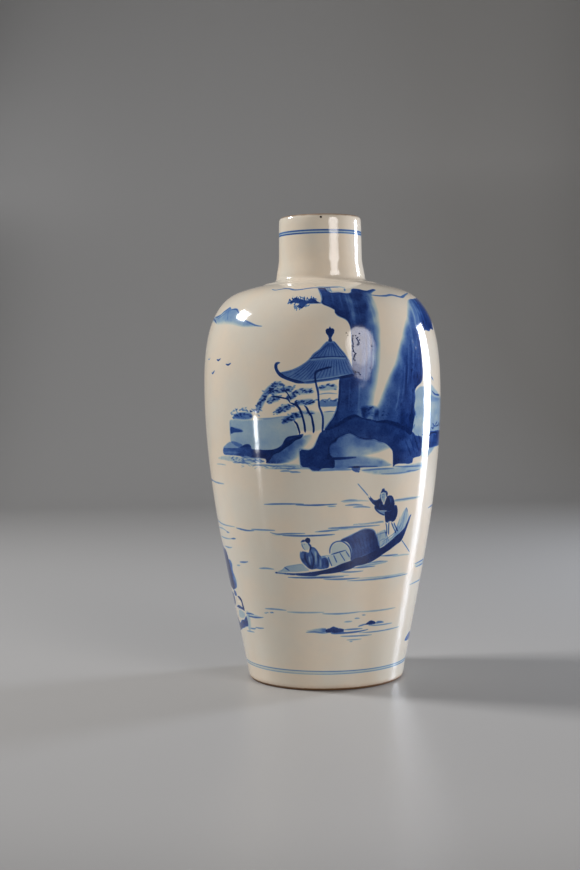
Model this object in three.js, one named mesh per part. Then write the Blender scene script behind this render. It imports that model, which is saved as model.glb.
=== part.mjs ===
// A blue and white porcelain bottle: a tall high-shouldered body on a shallow foot ring, with a short
// upright neck and a rounded lip. It is thrown and fired as one piece, hollow, with an open mouth.
// Millimetres, +Z up, origin on the ground at the middle of the foot. The painted front faces -Y.
import * as THREE from "three";

// Driving dimensions of the outside, from the foot up.
const HEIGHT = 250;
const HEEL = { radius: 42.4, height: 2.2, flare: 0.172, tuck: 0.4, lift: 0.3 };
const BELLY = { radius: 64.3, height: 157 };
const CORNER = { radius: 54.4, height: 202.8, lean: THREE.MathUtils.degToRad(38.8) };
const LEDGE = { radius: 31.4, height: 213.4, slope: 0.235, rise: 0.7, width: 1.1 };
const COLLAR = { radius: 26.2, height: 215.1, fillet: 2.6, lift: 0.4 };
const NECK = { root: 24, flare: 0.2, radius: 22.5, waist: 229, top: 22.3 };
const LIP = { height: 3.2, crown: 20.4, ease: 0.1 };

// How far each curve keeps its direction at its two ends.
const PULL = {
  heel: 45,
  bellyDown: 58,
  bellyUp: 24,
  cornerDown: 10.9,
  cornerUp: 8.4,
  ledge: 12.2,
  neckRoot: 3.4,
  neckWaist: 5,
};

// Walls, floor and foot.
const WALL = { belly: 4.2, corner: 4.4, neck: 3.9, heel: 4.2, heelPull: 31.5, cornerPull: 6.7 };
const FLOOR = { height: 9.6, corner: 9, draft: 0.8, dip: 0.4 };
const FOOT = { outer: 40.9, inner: 38.2, wall: 37, root: 36.6, dish: 30, recess: 3.7, dip: 0.5 };
const INNER_SHOULDER = { radius: 27, height: 209.8, fillet: 5.5, lift: 0.8 };

// Facets round the bottle, and along each stretch of its outline.
const SEGMENTS = 60;
const STEPS = {
  body: 11,
  belly: 7,
  shoulder: 6,
  neck: 3,
  round: 3,
  footRoot: 2,
  insideBelly: 5,
  insideShoulder: 4,
};

// The porcelain's colour and finish.
const GLAZE = { color: 0xdcd8cc, roughness: 0.12, metalness: 0 };

const point = (radius, height) => new THREE.Vector2(radius, height);

// A cubic curve's points without its first one, so that curves can be strung together.
function curve(steps, start, startPull, endPull, end) {
  return new THREE.CubicBezierCurve(start, startPull, endPull, end).getPoints(steps).slice(1);
}

// A quarter-round from start to end, bulging towards corner.
function round(steps, start, corner, end) {
  return new THREE.QuadraticBezierCurve(start, corner, end).getPoints(steps).slice(1);
}

// The underside: a shallow recess inside a narrow foot ring that is ground flat where it stands.
function footOutline() {
  const dish = point(FOOT.dish, FOOT.recess);
  const wall = point(FOOT.wall, FOOT.recess / 2);
  const outer = point(FOOT.outer, 0);
  const heel = point(HEEL.radius, HEEL.height);
  return [
    point(0, FOOT.recess - FOOT.dip),
    dish,
    ...round(STEPS.footRoot, dish, point(FOOT.root, FOOT.recess), wall),
    point(FOOT.inner, 0),
    outer,
    ...round(STEPS.round, outer, point(HEEL.radius - HEEL.tuck, HEEL.lift), heel),
  ];
}

// The outer wall, from the heel through the belly and the shoulder's turn to the ledge round the neck.
function wallOutline() {
  const heel = point(HEEL.radius, HEEL.height);
  const belly = point(BELLY.radius, BELLY.height);
  const corner = point(CORNER.radius, CORNER.height);
  const along = point(-Math.sin(CORNER.lean), Math.cos(CORNER.lean));
  const ledge = point(LEDGE.radius, LEDGE.height);
  const outwards = point(1, -LEDGE.slope).normalize();
  return [
    ...curve(
      STEPS.body,
      heel,
      point(heel.x + HEEL.flare * PULL.heel, heel.y + PULL.heel),
      point(belly.x, belly.y - PULL.bellyDown),
      belly,
    ),
    ...curve(
      STEPS.belly,
      belly,
      point(belly.x, belly.y + PULL.bellyUp),
      corner.clone().addScaledVector(along, -PULL.cornerDown),
      corner,
    ),
    ...curve(
      STEPS.shoulder,
      corner,
      corner.clone().addScaledVector(along, PULL.cornerUp),
      ledge.clone().addScaledVector(outwards, PULL.ledge),
      ledge,
    ),
  ];
}

// The low step round the neck's root, the neck and the outer half of the lip.
function neckOutline() {
  const collar = point(COLLAR.radius, COLLAR.height);
  const fillet = point(NECK.root + NECK.flare, COLLAR.height + COLLAR.lift);
  const root = point(NECK.root, COLLAR.height + COLLAR.fillet);
  const waist = point(NECK.radius, NECK.waist);
  const lip = point(NECK.top, HEIGHT - LIP.height);
  return [
    point(LEDGE.radius - LEDGE.width, LEDGE.height + LEDGE.rise),
    collar,
    ...round(STEPS.round, collar, fillet, root),
    ...curve(
      STEPS.neck,
      root,
      point(root.x - NECK.flare, root.y + PULL.neckRoot),
      point(waist.x, waist.y - PULL.neckWaist),
      waist,
    ),
    lip,
    ...round(STEPS.round, lip, point(NECK.top - LIP.ease, HEIGHT), point(LIP.crown, HEIGHT)),
  ];
}

// The inside, from the lip down the bore, under the shoulder, down the wall and across the floor.
function insideOutline() {
  const bore = NECK.top - WALL.neck;
  const crown = point(LIP.crown, HEIGHT);
  const mouth = point(bore, HEIGHT - LIP.height);
  const boreFoot = point(bore, INNER_SHOULDER.height + INNER_SHOULDER.fillet);
  const underBore = point(bore, INNER_SHOULDER.height + INNER_SHOULDER.lift);
  const shoulder = point(INNER_SHOULDER.radius, INNER_SHOULDER.height);
  const along = point(-Math.sin(CORNER.lean), Math.cos(CORNER.lean));
  const corner = point(
    CORNER.radius - WALL.corner * Math.cos(CORNER.lean),
    CORNER.height - WALL.corner * Math.sin(CORNER.lean),
  );
  const belly = point(BELLY.radius - WALL.belly, BELLY.height);
  const heel = point(HEEL.radius + HEEL.flare * FLOOR.corner - WALL.heel, FLOOR.height + FLOOR.corner);
  const floor = point(heel.x - FLOOR.corner, FLOOR.height);
  return [
    ...round(STEPS.round, crown, point(bore + LIP.ease, HEIGHT), mouth),
    boreFoot,
    ...round(STEPS.round, boreFoot, underBore, shoulder),
    ...curve(
      STEPS.insideShoulder,
      shoulder,
      point(shoulder.x + PULL.ledge, shoulder.y - PULL.ledge * LEDGE.slope),
      corner.clone().addScaledVector(along, WALL.cornerPull),
      corner,
    ),
    ...curve(
      STEPS.insideBelly,
      corner,
      corner.clone().addScaledVector(along, -PULL.cornerDown),
      point(belly.x, belly.y + PULL.bellyUp),
      belly,
    ),
    ...curve(
      STEPS.belly,
      belly,
      point(belly.x, belly.y - PULL.bellyDown),
      point(heel.x + HEEL.flare * PULL.heel, heel.y + WALL.heelPull),
      heel,
    ),
    ...round(STEPS.round, heel, point(heel.x - FLOOR.draft, FLOOR.height), floor),
    point(0, FLOOR.height - FLOOR.dip),
  ];
}

function makeBottle() {
  const outline = [...footOutline(), ...wallOutline(), ...neckOutline(), ...insideOutline()];
  const shape = new THREE.LatheGeometry(outline, SEGMENTS);
  shape.rotateX(Math.PI / 2);
  const bottle = new THREE.Mesh(shape, new THREE.MeshStandardMaterial(GLAZE));
  bottle.name = "porcelain_bottle";
  return bottle;
}

const part = new THREE.Group();
part.add(makeBottle());

export default part;
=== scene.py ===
"""A blue and white porcelain bottle on a plain pale floor.

The clear glaze and the cobalt painting under it are one closed skin. The bottle's outline is a fine
line, and a flat sheet that carries the painting is wrapped round it by Geometry Nodes. Brush strokes are
given as turn round the bottle in degrees (0 is the front, plus is to the viewer's right) and height above
the ground in millimetres.
"""

import math

import bpy
import numpy as np
from mathutils import Matrix, Vector
from mathutils.geometry import delaunay_2d_cdt


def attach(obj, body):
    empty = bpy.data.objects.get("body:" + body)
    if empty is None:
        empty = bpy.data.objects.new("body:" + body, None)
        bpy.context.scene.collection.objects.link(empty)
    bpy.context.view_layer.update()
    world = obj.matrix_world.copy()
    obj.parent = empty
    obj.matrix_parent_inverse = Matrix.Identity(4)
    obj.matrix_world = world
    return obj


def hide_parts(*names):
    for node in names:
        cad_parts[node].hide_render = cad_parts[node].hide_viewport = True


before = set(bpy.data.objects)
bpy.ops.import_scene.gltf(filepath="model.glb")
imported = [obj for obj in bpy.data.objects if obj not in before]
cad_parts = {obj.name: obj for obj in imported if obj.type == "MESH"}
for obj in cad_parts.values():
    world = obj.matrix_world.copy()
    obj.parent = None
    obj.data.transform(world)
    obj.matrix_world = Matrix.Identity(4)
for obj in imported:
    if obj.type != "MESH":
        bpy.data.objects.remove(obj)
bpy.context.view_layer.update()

bl_info = {
    "name": "Blue and White Bottle",
    "version": (1, 0, 0),
    "blender": (4, 5, 0),
    "location": "View3D > Sidebar > Bottle",
    "description": "Makes a painted porcelain bottle and the floor and lights round it",
    "category": "Object",
}

MM = 0.001

# The outline's points, as radius and height in millimetres, the same as in the part's source.
HEIGHT = 250
DISH_MIDDLE = Vector((0, 3.2))
DISH = Vector((30, 3.7))
DISH_CORNER = Vector((36.6, 3.7))
FOOT_WALL = Vector((37, 1.85))
FOOT_INNER = Vector((38.2, 0))
FOOT_OUTER = Vector((40.9, 0))
HEEL_CORNER = Vector((42, 0.3))
HEEL = Vector((42.4, 2.2))
HEEL_FLARE = 0.172
BELLY = Vector((64.3, 157))
CORNER = Vector((54.4, 202.8))
CORNER_LEAN = math.radians(38.8)
CORNER_ALONG = Vector((-math.sin(CORNER_LEAN), math.cos(CORNER_LEAN)))
CORNER_OUT = Vector((CORNER_ALONG.y, -CORNER_ALONG.x))
LEDGE = Vector((31.4, 213.4))
LEDGE_SLOPE = 0.235
LEDGE_EDGE = Vector((30.3, 214.1))
COLLAR = Vector((26.2, 215.1))
NECK_FILLET = Vector((24.2, 215.5))
NECK_ROOT = Vector((24, 217.7))
NECK_WAIST = Vector((22.5, 229))
LIP = Vector((22.3, 246.8))
LIP_EASE = 0.1
CROWN = Vector((20.4, HEIGHT))
BORE = 18.4
BORE_FOOT = Vector((BORE, 215.3))
BORE_CORNER = Vector((BORE, 210.6))
INNER_SHOULDER = Vector((27, 209.8))
CORNER_WALL = 4.4
INNER_BELLY = Vector((60.1, 157))
INNER_HEEL = Vector((39.75, 18.6))
FLOOR_CORNER = Vector((38.95, 9.6))
FLOOR_EDGE = Vector((30.75, 9.6))
FLOOR_MIDDLE = Vector((0, 9.2))

# How far each curve keeps its direction at its ends, in millimetres.
HEEL_PULL = 45
INNER_HEEL_PULL = 31.5
BELLY_DOWN = 58
BELLY_UP = 24
CORNER_DOWN = 10.9
CORNER_UP = 8.4
INNER_CORNER_UP = 6.7
LEDGE_PULL = 12.2
ROOT_PULL = Vector((-0.2, 3.4))
WAIST_PULL = 5
SKIN_STEP = 0.4

# The sheet: columns round the bottle, the largest gap and turn between its rows, and the painted heights.
COLUMNS = 144
ROW_GAP = 4.0
ROW_TURN = math.radians(5)
CELL = 2.5
PAINTED = (14, 212.5)

# The brush: how far an edge bleeds, and the spacing of points along strokes and inside washes.
BLEED = 0.34
STROKE_STEP = 0.9
TOUCH_STEP = 0.8
WASH_STEP = 1.1
INK_LIMIT = 4.6
LATTICE = 61

# A line's width and ink: how much they vary along it, over what size, and what is left of them at its tips.
WIDTH_SHAKE = 0.14
WIDTH_SHAKE_SIZE = (2.5, 2.5)
INK_SHAKE = 0.1
INK_SHAKE_SIZE = (4, 4)
TIP_WIDTH = 0.3
TIP_INK = 0.75
THINNEST = 0.08
THINNEST_SIDE = 0.05
TOUCH_SHAPE = np.array([0.55, 1, 0.55])

# A wash: how crisp an edge gets its own inner line of points, and the sizes of its small unevenness.
SHARPEST = 0.3
CRISP = 1.2
HAND_SIZE = (2.3, 2.3)
SPECK_SIZE = (1.4, 1.4)
WASH_SEED = 500
POOL_FALL = -3.0
POOL_SOFT = 0.5
JITTER = 0.25

# How much the ink of a ring round the bottle rises and falls, slowly and quickly.
RING_FADE = 0.22
RING_FLICKER = 0.1


def away(point, direction, distance):
    return point + direction.normalized() * distance


class Outline:
    """The outline from the middle of the underside, over the lip, to the middle of the floor inside."""

    def __init__(self):
        self.points = [DISH_MIDDLE]
        self.foot = self.run_underside()
        self.run_outside()
        self.crown = len(self.points) - 1
        self.run_inside()
        line = np.array(self.points)
        self.radius, self.height = line.T
        gaps = np.hypot(np.diff(self.radius), np.diff(self.height))
        self.along = np.concatenate([[0], np.cumsum(gaps)])

    def line(self, *ends):
        for end in ends:
            start = self.points[-1]
            count = max(1, round((end - start).length / SKIN_STEP))
            self.points += [start.lerp(end, step / count) for step in range(1, count + 1)]

    def curve(self, first, second, end):
        start = self.points[-1]
        reach = (first - start).length + (second - first).length + (end - second).length
        count = max(4, round(reach / SKIN_STEP))
        for step in range(1, count + 1):
            t = step / count
            near = start * (1 - t) ** 3 + first * (3 * t * (1 - t) ** 2)
            self.points.append(near + second * (3 * t * t * (1 - t)) + end * t**3)

    def round(self, corner, end):
        start = self.points[-1]
        self.curve(start.lerp(corner, 2 / 3), end.lerp(corner, 2 / 3), end)

    def run_underside(self):
        self.line(DISH)
        self.round(DISH_CORNER, FOOT_WALL)
        self.line(FOOT_INNER, FOOT_OUTER)
        return len(self.points) - 1

    def run_outside(self):
        up = Vector((0, 1))
        outwards = Vector((1, -LEDGE_SLOPE))
        self.round(HEEL_CORNER, HEEL)
        self.curve(HEEL + Vector((HEEL_FLARE, 1)) * HEEL_PULL, BELLY - up * BELLY_DOWN, BELLY)
        self.curve(BELLY + up * BELLY_UP, away(CORNER, CORNER_ALONG, -CORNER_DOWN), CORNER)
        self.curve(away(CORNER, CORNER_ALONG, CORNER_UP), away(LEDGE, outwards, LEDGE_PULL), LEDGE)
        self.line(LEDGE_EDGE, COLLAR)
        self.round(NECK_FILLET, NECK_ROOT)
        self.curve(NECK_ROOT + ROOT_PULL, NECK_WAIST - up * WAIST_PULL, NECK_WAIST)
        self.line(LIP)
        self.round(Vector((LIP.x - LIP_EASE, HEIGHT)), CROWN)

    def run_inside(self):
        up = Vector((0, 1))
        self.round(Vector((BORE + LIP_EASE, HEIGHT)), Vector((BORE, LIP.y)))
        self.line(BORE_FOOT)
        self.round(BORE_CORNER, INNER_SHOULDER)
        corner = CORNER - CORNER_OUT * CORNER_WALL
        under = INNER_SHOULDER + Vector((1, -LEDGE_SLOPE)) * LEDGE_PULL
        self.curve(under, away(corner, CORNER_ALONG, INNER_CORNER_UP), corner)
        self.curve(away(corner, CORNER_ALONG, -CORNER_DOWN), INNER_BELLY + up * BELLY_UP, INNER_BELLY)
        heel_pull = INNER_HEEL + Vector((HEEL_FLARE * HEEL_PULL, INNER_HEEL_PULL))
        self.curve(INNER_BELLY - up * BELLY_DOWN, heel_pull, INNER_HEEL)
        self.round(FLOOR_CORNER, FLOOR_EDGE)
        self.line(FLOOR_MIDDLE)

    def up(self, height):
        """Distance along the outline to a height on the outside."""
        outside = slice(self.foot, self.crown + 1)
        return np.interp(height, self.height[outside], self.along[outside])

    def degree(self, along):
        """Millimetres round the bottle in one degree."""
        return np.interp(along, self.along, self.radius) * math.pi / 180

    def rows(self):
        """Where the sheet's rows lie: closer together where the outline turns."""
        heading = np.unwrap(np.arctan2(np.gradient(self.height), np.gradient(self.radius)))
        found = [0]
        forced = {self.foot, self.crown, len(self.along) - 1}
        for at in range(1, len(self.along)):
            last = found[-1]
            turned = abs(heading[at] - heading[last]) > ROW_TURN
            if turned or self.along[at] - self.along[last] > ROW_GAP or at in forced:
                found.append(at)
        return self.along[found]


def noise(points, size, seed):
    """Smooth random values from -1 to 1 over the sheet, for features of the given width and height."""
    lattice = np.random.default_rng(seed).uniform(-1, 1, (LATTICE, LATTICE))
    place = points / np.array(size)
    cell = np.floor(place).astype(int)
    part = place - cell
    part = part * part * (3 - 2 * part)
    left, low = cell[:, 0] % LATTICE, cell[:, 1] % LATTICE
    right, high = (left + 1) % LATTICE, (low + 1) % LATTICE
    low = lattice[left, low] * (1 - part[:, 0]) + lattice[right, low] * part[:, 0]
    high = lattice[left, high] * (1 - part[:, 0]) + lattice[right, high] * part[:, 0]
    return low * (1 - part[:, 1]) + high * part[:, 1]


def smooth(points, step, closed=False):
    """A soft line through the points, with points about a step apart."""
    count = len(points)
    if count < 3:
        closed = False
    spans = count if closed else count - 1
    out = []
    for index in range(spans):
        if closed:
            near = [points[(index + shift) % count] for shift in (-1, 0, 1, 2)]
        else:
            near = [points[min(max(index + shift, 0), count - 1)] for shift in (-1, 0, 1, 2)]
        before, start, end, after = near
        parts = max(1, round(math.dist(start[:2], end[:2]) / step))
        for part in range(parts):
            t = part / parts
            mix = 2 * start + (end - before) * t
            mix = mix + (2 * before - 5 * start + 4 * end - after) * t**2
            out.append((mix + (3 * start - before - 3 * end + after) * t**3) / 2)
    if not closed:
        out.append(points[-1])
    return np.array(out)


class Painting:
    """Collects brush strokes, and turns them into a mesh of the sheet with the pigment at each point."""

    def __init__(self, outline, seed):
        self.outline = outline
        self.random = np.random.default_rng(seed)
        self.points = []
        self.edges = []
        self.strokes = []

    def place(self, path):
        spots = np.array([spot[:2] for spot in path], float)
        spots[:, 1] = self.outline.up(spots[:, 1])
        rest = np.array([spot[2:] for spot in path], float)
        return np.hstack([spots, rest]) if rest.size else spots

    def distance(self, points, starts, ends):
        """Millimetres from each point to each piece of a line, and how far along the piece it is."""
        degree = self.outline.degree(points[:, 1])[:, None]
        start_x, start_y = starts[:, 0] * degree, starts[:, 1]
        step_x, step_y = (ends[:, 0] - starts[:, 0]) * degree, ends[:, 1] - starts[:, 1]
        from_x = points[:, :1] * degree - start_x
        from_y = points[:, 1:2] - start_y
        length = np.maximum(step_x**2 + step_y**2, 1e-9)
        part = np.clip((from_x * step_x + from_y * step_y) / length, 0, 1)
        return np.hypot(from_x - part * step_x, from_y - part * step_y), part

    def add_points(self, spots):
        first = len(self.points)
        self.points += [tuple(spot) for spot in spots]
        return first

    def add_loop(self, spots, closed=True):
        first = self.add_points(spots)
        count = len(spots)
        for index in range(count if closed else count - 1):
            self.edges.append((first + index, first + (index + 1) % count))

    def add_stroke(self, spots, level, mode):
        self.strokes.append((spots.min(0), spots.max(0), level, mode))

    def sides(self, spine, distance):
        """The two lines that run beside a spine at the given distances."""
        degree = self.outline.degree(spine[:, 1])
        flat = np.stack([spine[:, 0] * degree.mean(), spine[:, 1]], 1)
        heading = np.gradient(flat, axis=0)
        heading /= np.maximum(np.linalg.norm(heading, axis=1), 1e-6)[:, None]
        across = np.stack([-heading[:, 1] / degree, heading[:, 0]], 1)
        ends = np.stack([heading[:, 0] / degree, heading[:, 1]], 1)
        return spine + across * distance[:, None], spine - across * distance[:, None], ends

    def line(self, path, width, ink, ends=(0.25, 0.35), mode="add", bleed=BLEED):
        """One brush line. It starts and ends thin, over the given parts of its length."""
        spine = smooth(self.place([spot[:2] for spot in path]), STROKE_STEP)
        if len(spine) < 3:
            spine = np.array([spine[0], (spine[0] + spine[-1]) / 2, spine[-1]])
        gone = np.concatenate([[0], np.cumsum(np.linalg.norm(np.diff(spine, axis=0), axis=1))])
        gone /= max(gone[-1], 1e-6)
        press = np.minimum(np.clip(gone / ends[0], 0, 1), np.clip((1 - gone) / ends[1], 0, 1))
        seed = len(self.strokes)
        shake = 1 + WIDTH_SHAKE * noise(spine, WIDTH_SHAKE_SIZE, seed)
        half = width / 2 * (TIP_WIDTH + (1 - TIP_WIDTH) * np.sqrt(press)) * shake
        blotch = 1 + INK_SHAKE * noise(spine, INK_SHAKE_SIZE, seed + 1)
        load = ink * (TIP_INK + (1 - TIP_INK) * press) * blotch
        inner = np.maximum(half - bleed / 2, 0)
        left, right, ahead = self.sides(spine, half + bleed / 2)
        tip = (half + bleed / 2)[:, None] * ahead
        self.add_loop(np.vstack([spine[:1] - tip[:1], left, spine[-1:] + tip[-1:], right[::-1]]))
        if inner.max() > THINNEST:
            left, right, _ = self.sides(spine, np.maximum(inner, THINNEST_SIDE))
            self.add_loop(np.vstack([left, right[::-1]]))
        else:
            self.add_loop(spine, closed=False)

        def level(points):
            gap, part = self.distance(points, spine[:-1], spine[1:])
            best = gap.argmin(1)
            every = np.arange(len(points))
            at = best + part[every, best]
            here = np.interp(at, np.arange(len(spine)), half)
            strength = np.interp(at, np.arange(len(spine)), load)
            return strength * np.clip((here + bleed / 2 - gap[every, best]) / bleed, 0, 1)

        self.add_stroke(np.vstack([spine - tip.max(), spine + tip.max()]), level, mode)

    def wash(self, path, ink, soft=0.45, grain=1.5, mottle=0.12, size=(5, 3), inks=(), hand=0.12):
        """A patch laid with a full brush.

        A third number at a point of the path is how softly the edge after it fades. The inks are places
        with their own amount of pigment, which the rest of the patch blends between.
        """
        path = [tuple(spot) if len(spot) > 2 else (*spot, soft) for spot in path]
        edge = smooth(self.place(path), WASH_STEP, closed=True)
        fade = np.maximum(edge[:, 2], SHARPEST)
        edge = edge[:, :2]
        seed = len(self.strokes) + WASH_SEED
        shift = np.stack([noise(edge, HAND_SIZE, seed), noise(edge, HAND_SIZE, seed + 1)], 1)
        edge = edge + shift * hand
        ends = np.roll(edge, -1, axis=0)
        pools = self.place(inks) if inks else None
        self.add_loop(edge)

        def inside(points):
            found = np.zeros(len(points), bool)
            x, y = points.T
            for (x0, y0), (x1, y1) in zip(edge, ends):
                if y0 != y1:
                    crosses = (y0 > y) != (y1 > y)
                    found ^= crosses & (x < x0 + (x1 - x0) * (y - y0) / (y1 - y0))
            return found

        def level(points):
            total = np.zeros(len(points))
            within = inside(points)
            kept = points[within]
            if not len(kept):
                return total
            gap, _ = self.distance(kept, edge, ends)
            strength = np.clip(gap / fade, 0, 1).min(1)
            broad, fine = noise(kept, size, seed + 2), noise(kept, SPECK_SIZE, seed + 3)
            strength *= 1 + mottle * broad + mottle / 2 * fine
            if pools is None:
                total[within] = ink * strength
            else:
                near = np.hypot(*(kept[:, None, :] - pools[None, :, :2]).transpose(2, 0, 1)) + POOL_SOFT
                weight = near**POOL_FALL
                total[within] = (weight * pools[:, 2]).sum(1) / weight.sum(1) * strength
            return total

        crisp = fade < CRISP
        if crisp.any():
            heading = ends - np.roll(edge, 1, axis=0)
            heading /= np.maximum(np.linalg.norm(heading, axis=1), 1e-6)[:, None]
            turning = np.sign(np.sum(edge[:, 0] * ends[:, 1] - ends[:, 0] * edge[:, 1]))
            inner = edge + np.stack([-heading[:, 1], heading[:, 0]], 1) * turning * fade[:, None]
            inner = inner[crisp]
            self.add_points(inner[inside(inner)])
        low, high = edge.min(0), edge.max(0)
        across, upward = np.meshgrid(np.arange(low[0], high[0], grain), np.arange(low[1], high[1], grain))
        grid = np.stack([across.ravel(), upward.ravel()], 1)
        grid += self.random.uniform(-JITTER, JITTER, grid.shape) * grain
        grid = grid[inside(grid)]
        if len(grid):
            gap, _ = self.distance(grid, edge, ends)
            self.add_points(grid[gap.min(1) > grain / 2])
        self.add_stroke(edge, level, "add")

    def dabs(self, path, count, size, ink, spread, lean=0):
        """A row of short touches of the brush tip along a path."""
        spine = smooth(self.place(path), TOUCH_STEP)
        for at in np.linspace(0, len(spine) - 1, count):
            turn, along = spine[int(round(at)), :2] + self.random.normal(0, 1, 2) * spread
            degree = self.outline.degree(along)
            long = size[0] * self.random.uniform(0.7, 1.25) / 2
            angle = math.radians(lean + self.random.uniform(-35, 35))
            reach = np.array([math.cos(angle) / degree, math.sin(angle)]) * long
            bend = self.random.uniform(-0.15, 0.15) * long
            middle = np.array([turn, along])
            spots = np.array([middle - reach, (turn, along + bend), middle + reach])
            width = size[1] * self.random.uniform(0.75, 1.2)
            self.touch(spots, width, ink * self.random.uniform(0.75, 1.15), "add")

    def touch(self, spots, width, ink, mode):
        """One short touch of the brush through three places on the sheet."""
        half = TOUCH_SHAPE * width / 2
        left, right, ahead = self.sides(spots, half + BLEED / 2)
        tip = (half + BLEED / 2)[:, None] * ahead
        self.add_loop(np.vstack([spots[:1] - tip[:1], left, spots[-1:] + tip[-1:], right[::-1]]))
        self.add_loop(spots, closed=False)

        def level(points):
            gap, part = self.distance(points, spots[:-1], spots[1:])
            best = gap.argmin(1)
            every = np.arange(len(points))
            here = np.interp(best + part[every, best], [0, 1, 2], half)
            return ink * np.clip((here + BLEED / 2 - gap[every, best]) / BLEED, 0, 1)

        self.add_stroke(np.vstack([spots - tip.max(), spots + tip.max()]), level, mode)

    def streaks(self, drift, rows, mode="add", bleed=0.8):
        """Strokes that fall from a top to a foot. The drift is their turn at the middle and at the foot."""
        for turn, top, foot, width, ink in rows:
            path = [(turn, top), (turn + drift[0], (top + foot) / 2), (turn + drift[1], foot)]
            self.line(path, width, ink, mode=mode, bleed=bleed)

    def dashes(self, rise, rows):
        """Level strokes that rise a little at the middle."""
        for start, end, height, width, ink in rows:
            self.line([(start, height), ((start + end) / 2, height + rise), (end, height)], width, ink)

    def ring(self, height, width, ink, wobble, seed):
        """A line all the way round, turned on the wheel."""
        turns = np.linspace(-180, 180, COLUMNS + 1)
        waves = np.random.default_rng(seed).uniform(0, 2 * math.pi, 4)
        centre = self.outline.up(height)

        def middle(turn):
            sway = sum(np.sin(np.radians(turn) * (k + 1) + waves[k]) / (k + 1) for k in range(4))
            return centre + wobble * sway

        def strength(turn):
            slow = RING_FADE * np.sin(np.radians(turn) * 2 + waves[1])
            quick = RING_FLICKER * np.sin(np.radians(turn) * 7)
            return ink * (1 + slow + quick)

        for side in (-width / 2, width / 2):
            for shift in (side - BLEED / 2, side + BLEED / 2):
                self.add_loop(np.stack([turns, middle(turns) + shift], 1), closed=False)

        def level(points):
            gap = np.abs(points[:, 1] - middle(points[:, 0]))
            return strength(points[:, 0]) * np.clip((width / 2 + BLEED / 2 - gap) / BLEED, 0, 1)

        low, high = centre - wobble * 3 - width, centre + wobble * 3 + width
        self.add_stroke(np.array([[-181, low], [181, high]]), level, "add")

    def add_sheet(self):
        """The even net of points that the strokes are cut into."""
        turns = np.linspace(-180, 180, COLUMNS + 1)
        low, high = self.outline.up(PAINTED[0]), self.outline.up(PAINTED[1])
        rows = self.outline.rows()
        even = np.linspace(low, high, round((high - low) / CELL))
        rows = np.sort(np.concatenate([rows[(rows < low - 0.3) | (rows > high + 0.3)], even]))
        for row in rows:
            self.add_points(np.stack([turns, np.full(len(turns), row)], 1))
        outside = rows[(rows >= self.outline.along[self.outline.foot] - 1e-6)]
        outside = outside[outside <= self.outline.along[self.outline.crown] + 1e-6]
        for turn in (-90, 90):
            self.add_loop(np.stack([np.full(len(outside), turn), outside], 1), closed=False)
        for row in (outside[0], outside[-1]):
            self.add_loop(np.stack([turns, np.full(len(turns), row)], 1), closed=False)

    def mesh(self):
        """Points of the sheet, its triangles, and the pigment and the pits in the glaze at each point."""
        self.add_sheet()
        spots = [Vector(spot) for spot in self.points]
        points, _, faces, *_ = delaunay_2d_cdt(spots, self.edges, [], 0, 1e-4, False)
        points = np.array(points)
        faces = np.array(faces)
        layers = {"add": np.zeros(len(points)), "pits": np.zeros(len(points))}
        order = points[:, 1].argsort()
        sorted_along = points[order, 1]
        for low, high, level, mode in self.strokes:
            first, last = np.searchsorted(sorted_along, [low[1] - 1, high[1] + 1])
            near = order[first:last]
            turn = points[near, 0]
            near = near[(turn > low[0] - 1.5) & (turn < high[0] + 1.5)]
            if not len(near):
                continue
            amount = level(points[near])
            if mode == "lift":
                layers["add"][near] *= 1 - np.clip(amount, 0, 1)
            else:
                layers[mode][near] += amount
        return points, faces, np.clip(layers["add"], 0, INK_LIMIT), np.clip(layers["pits"], 0, 1)


def paint_rings(p):
    """The turned lines round the neck and the heel."""
    p.ring(241.2, 0.75, 2.2, 0.05, 3)
    p.ring(239.8, 0.7, 2.0, 0.05, 4)
    p.ring(240.5, 1.6, 0.6, 0.05, 5)
    p.ring(10.7, 0.5, 1.25, 0.09, 6)
    p.ring(9.3, 0.5, 1.1, 0.09, 7)
    p.ring(10, 1.3, 0.35, 0.09, 8)


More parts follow.
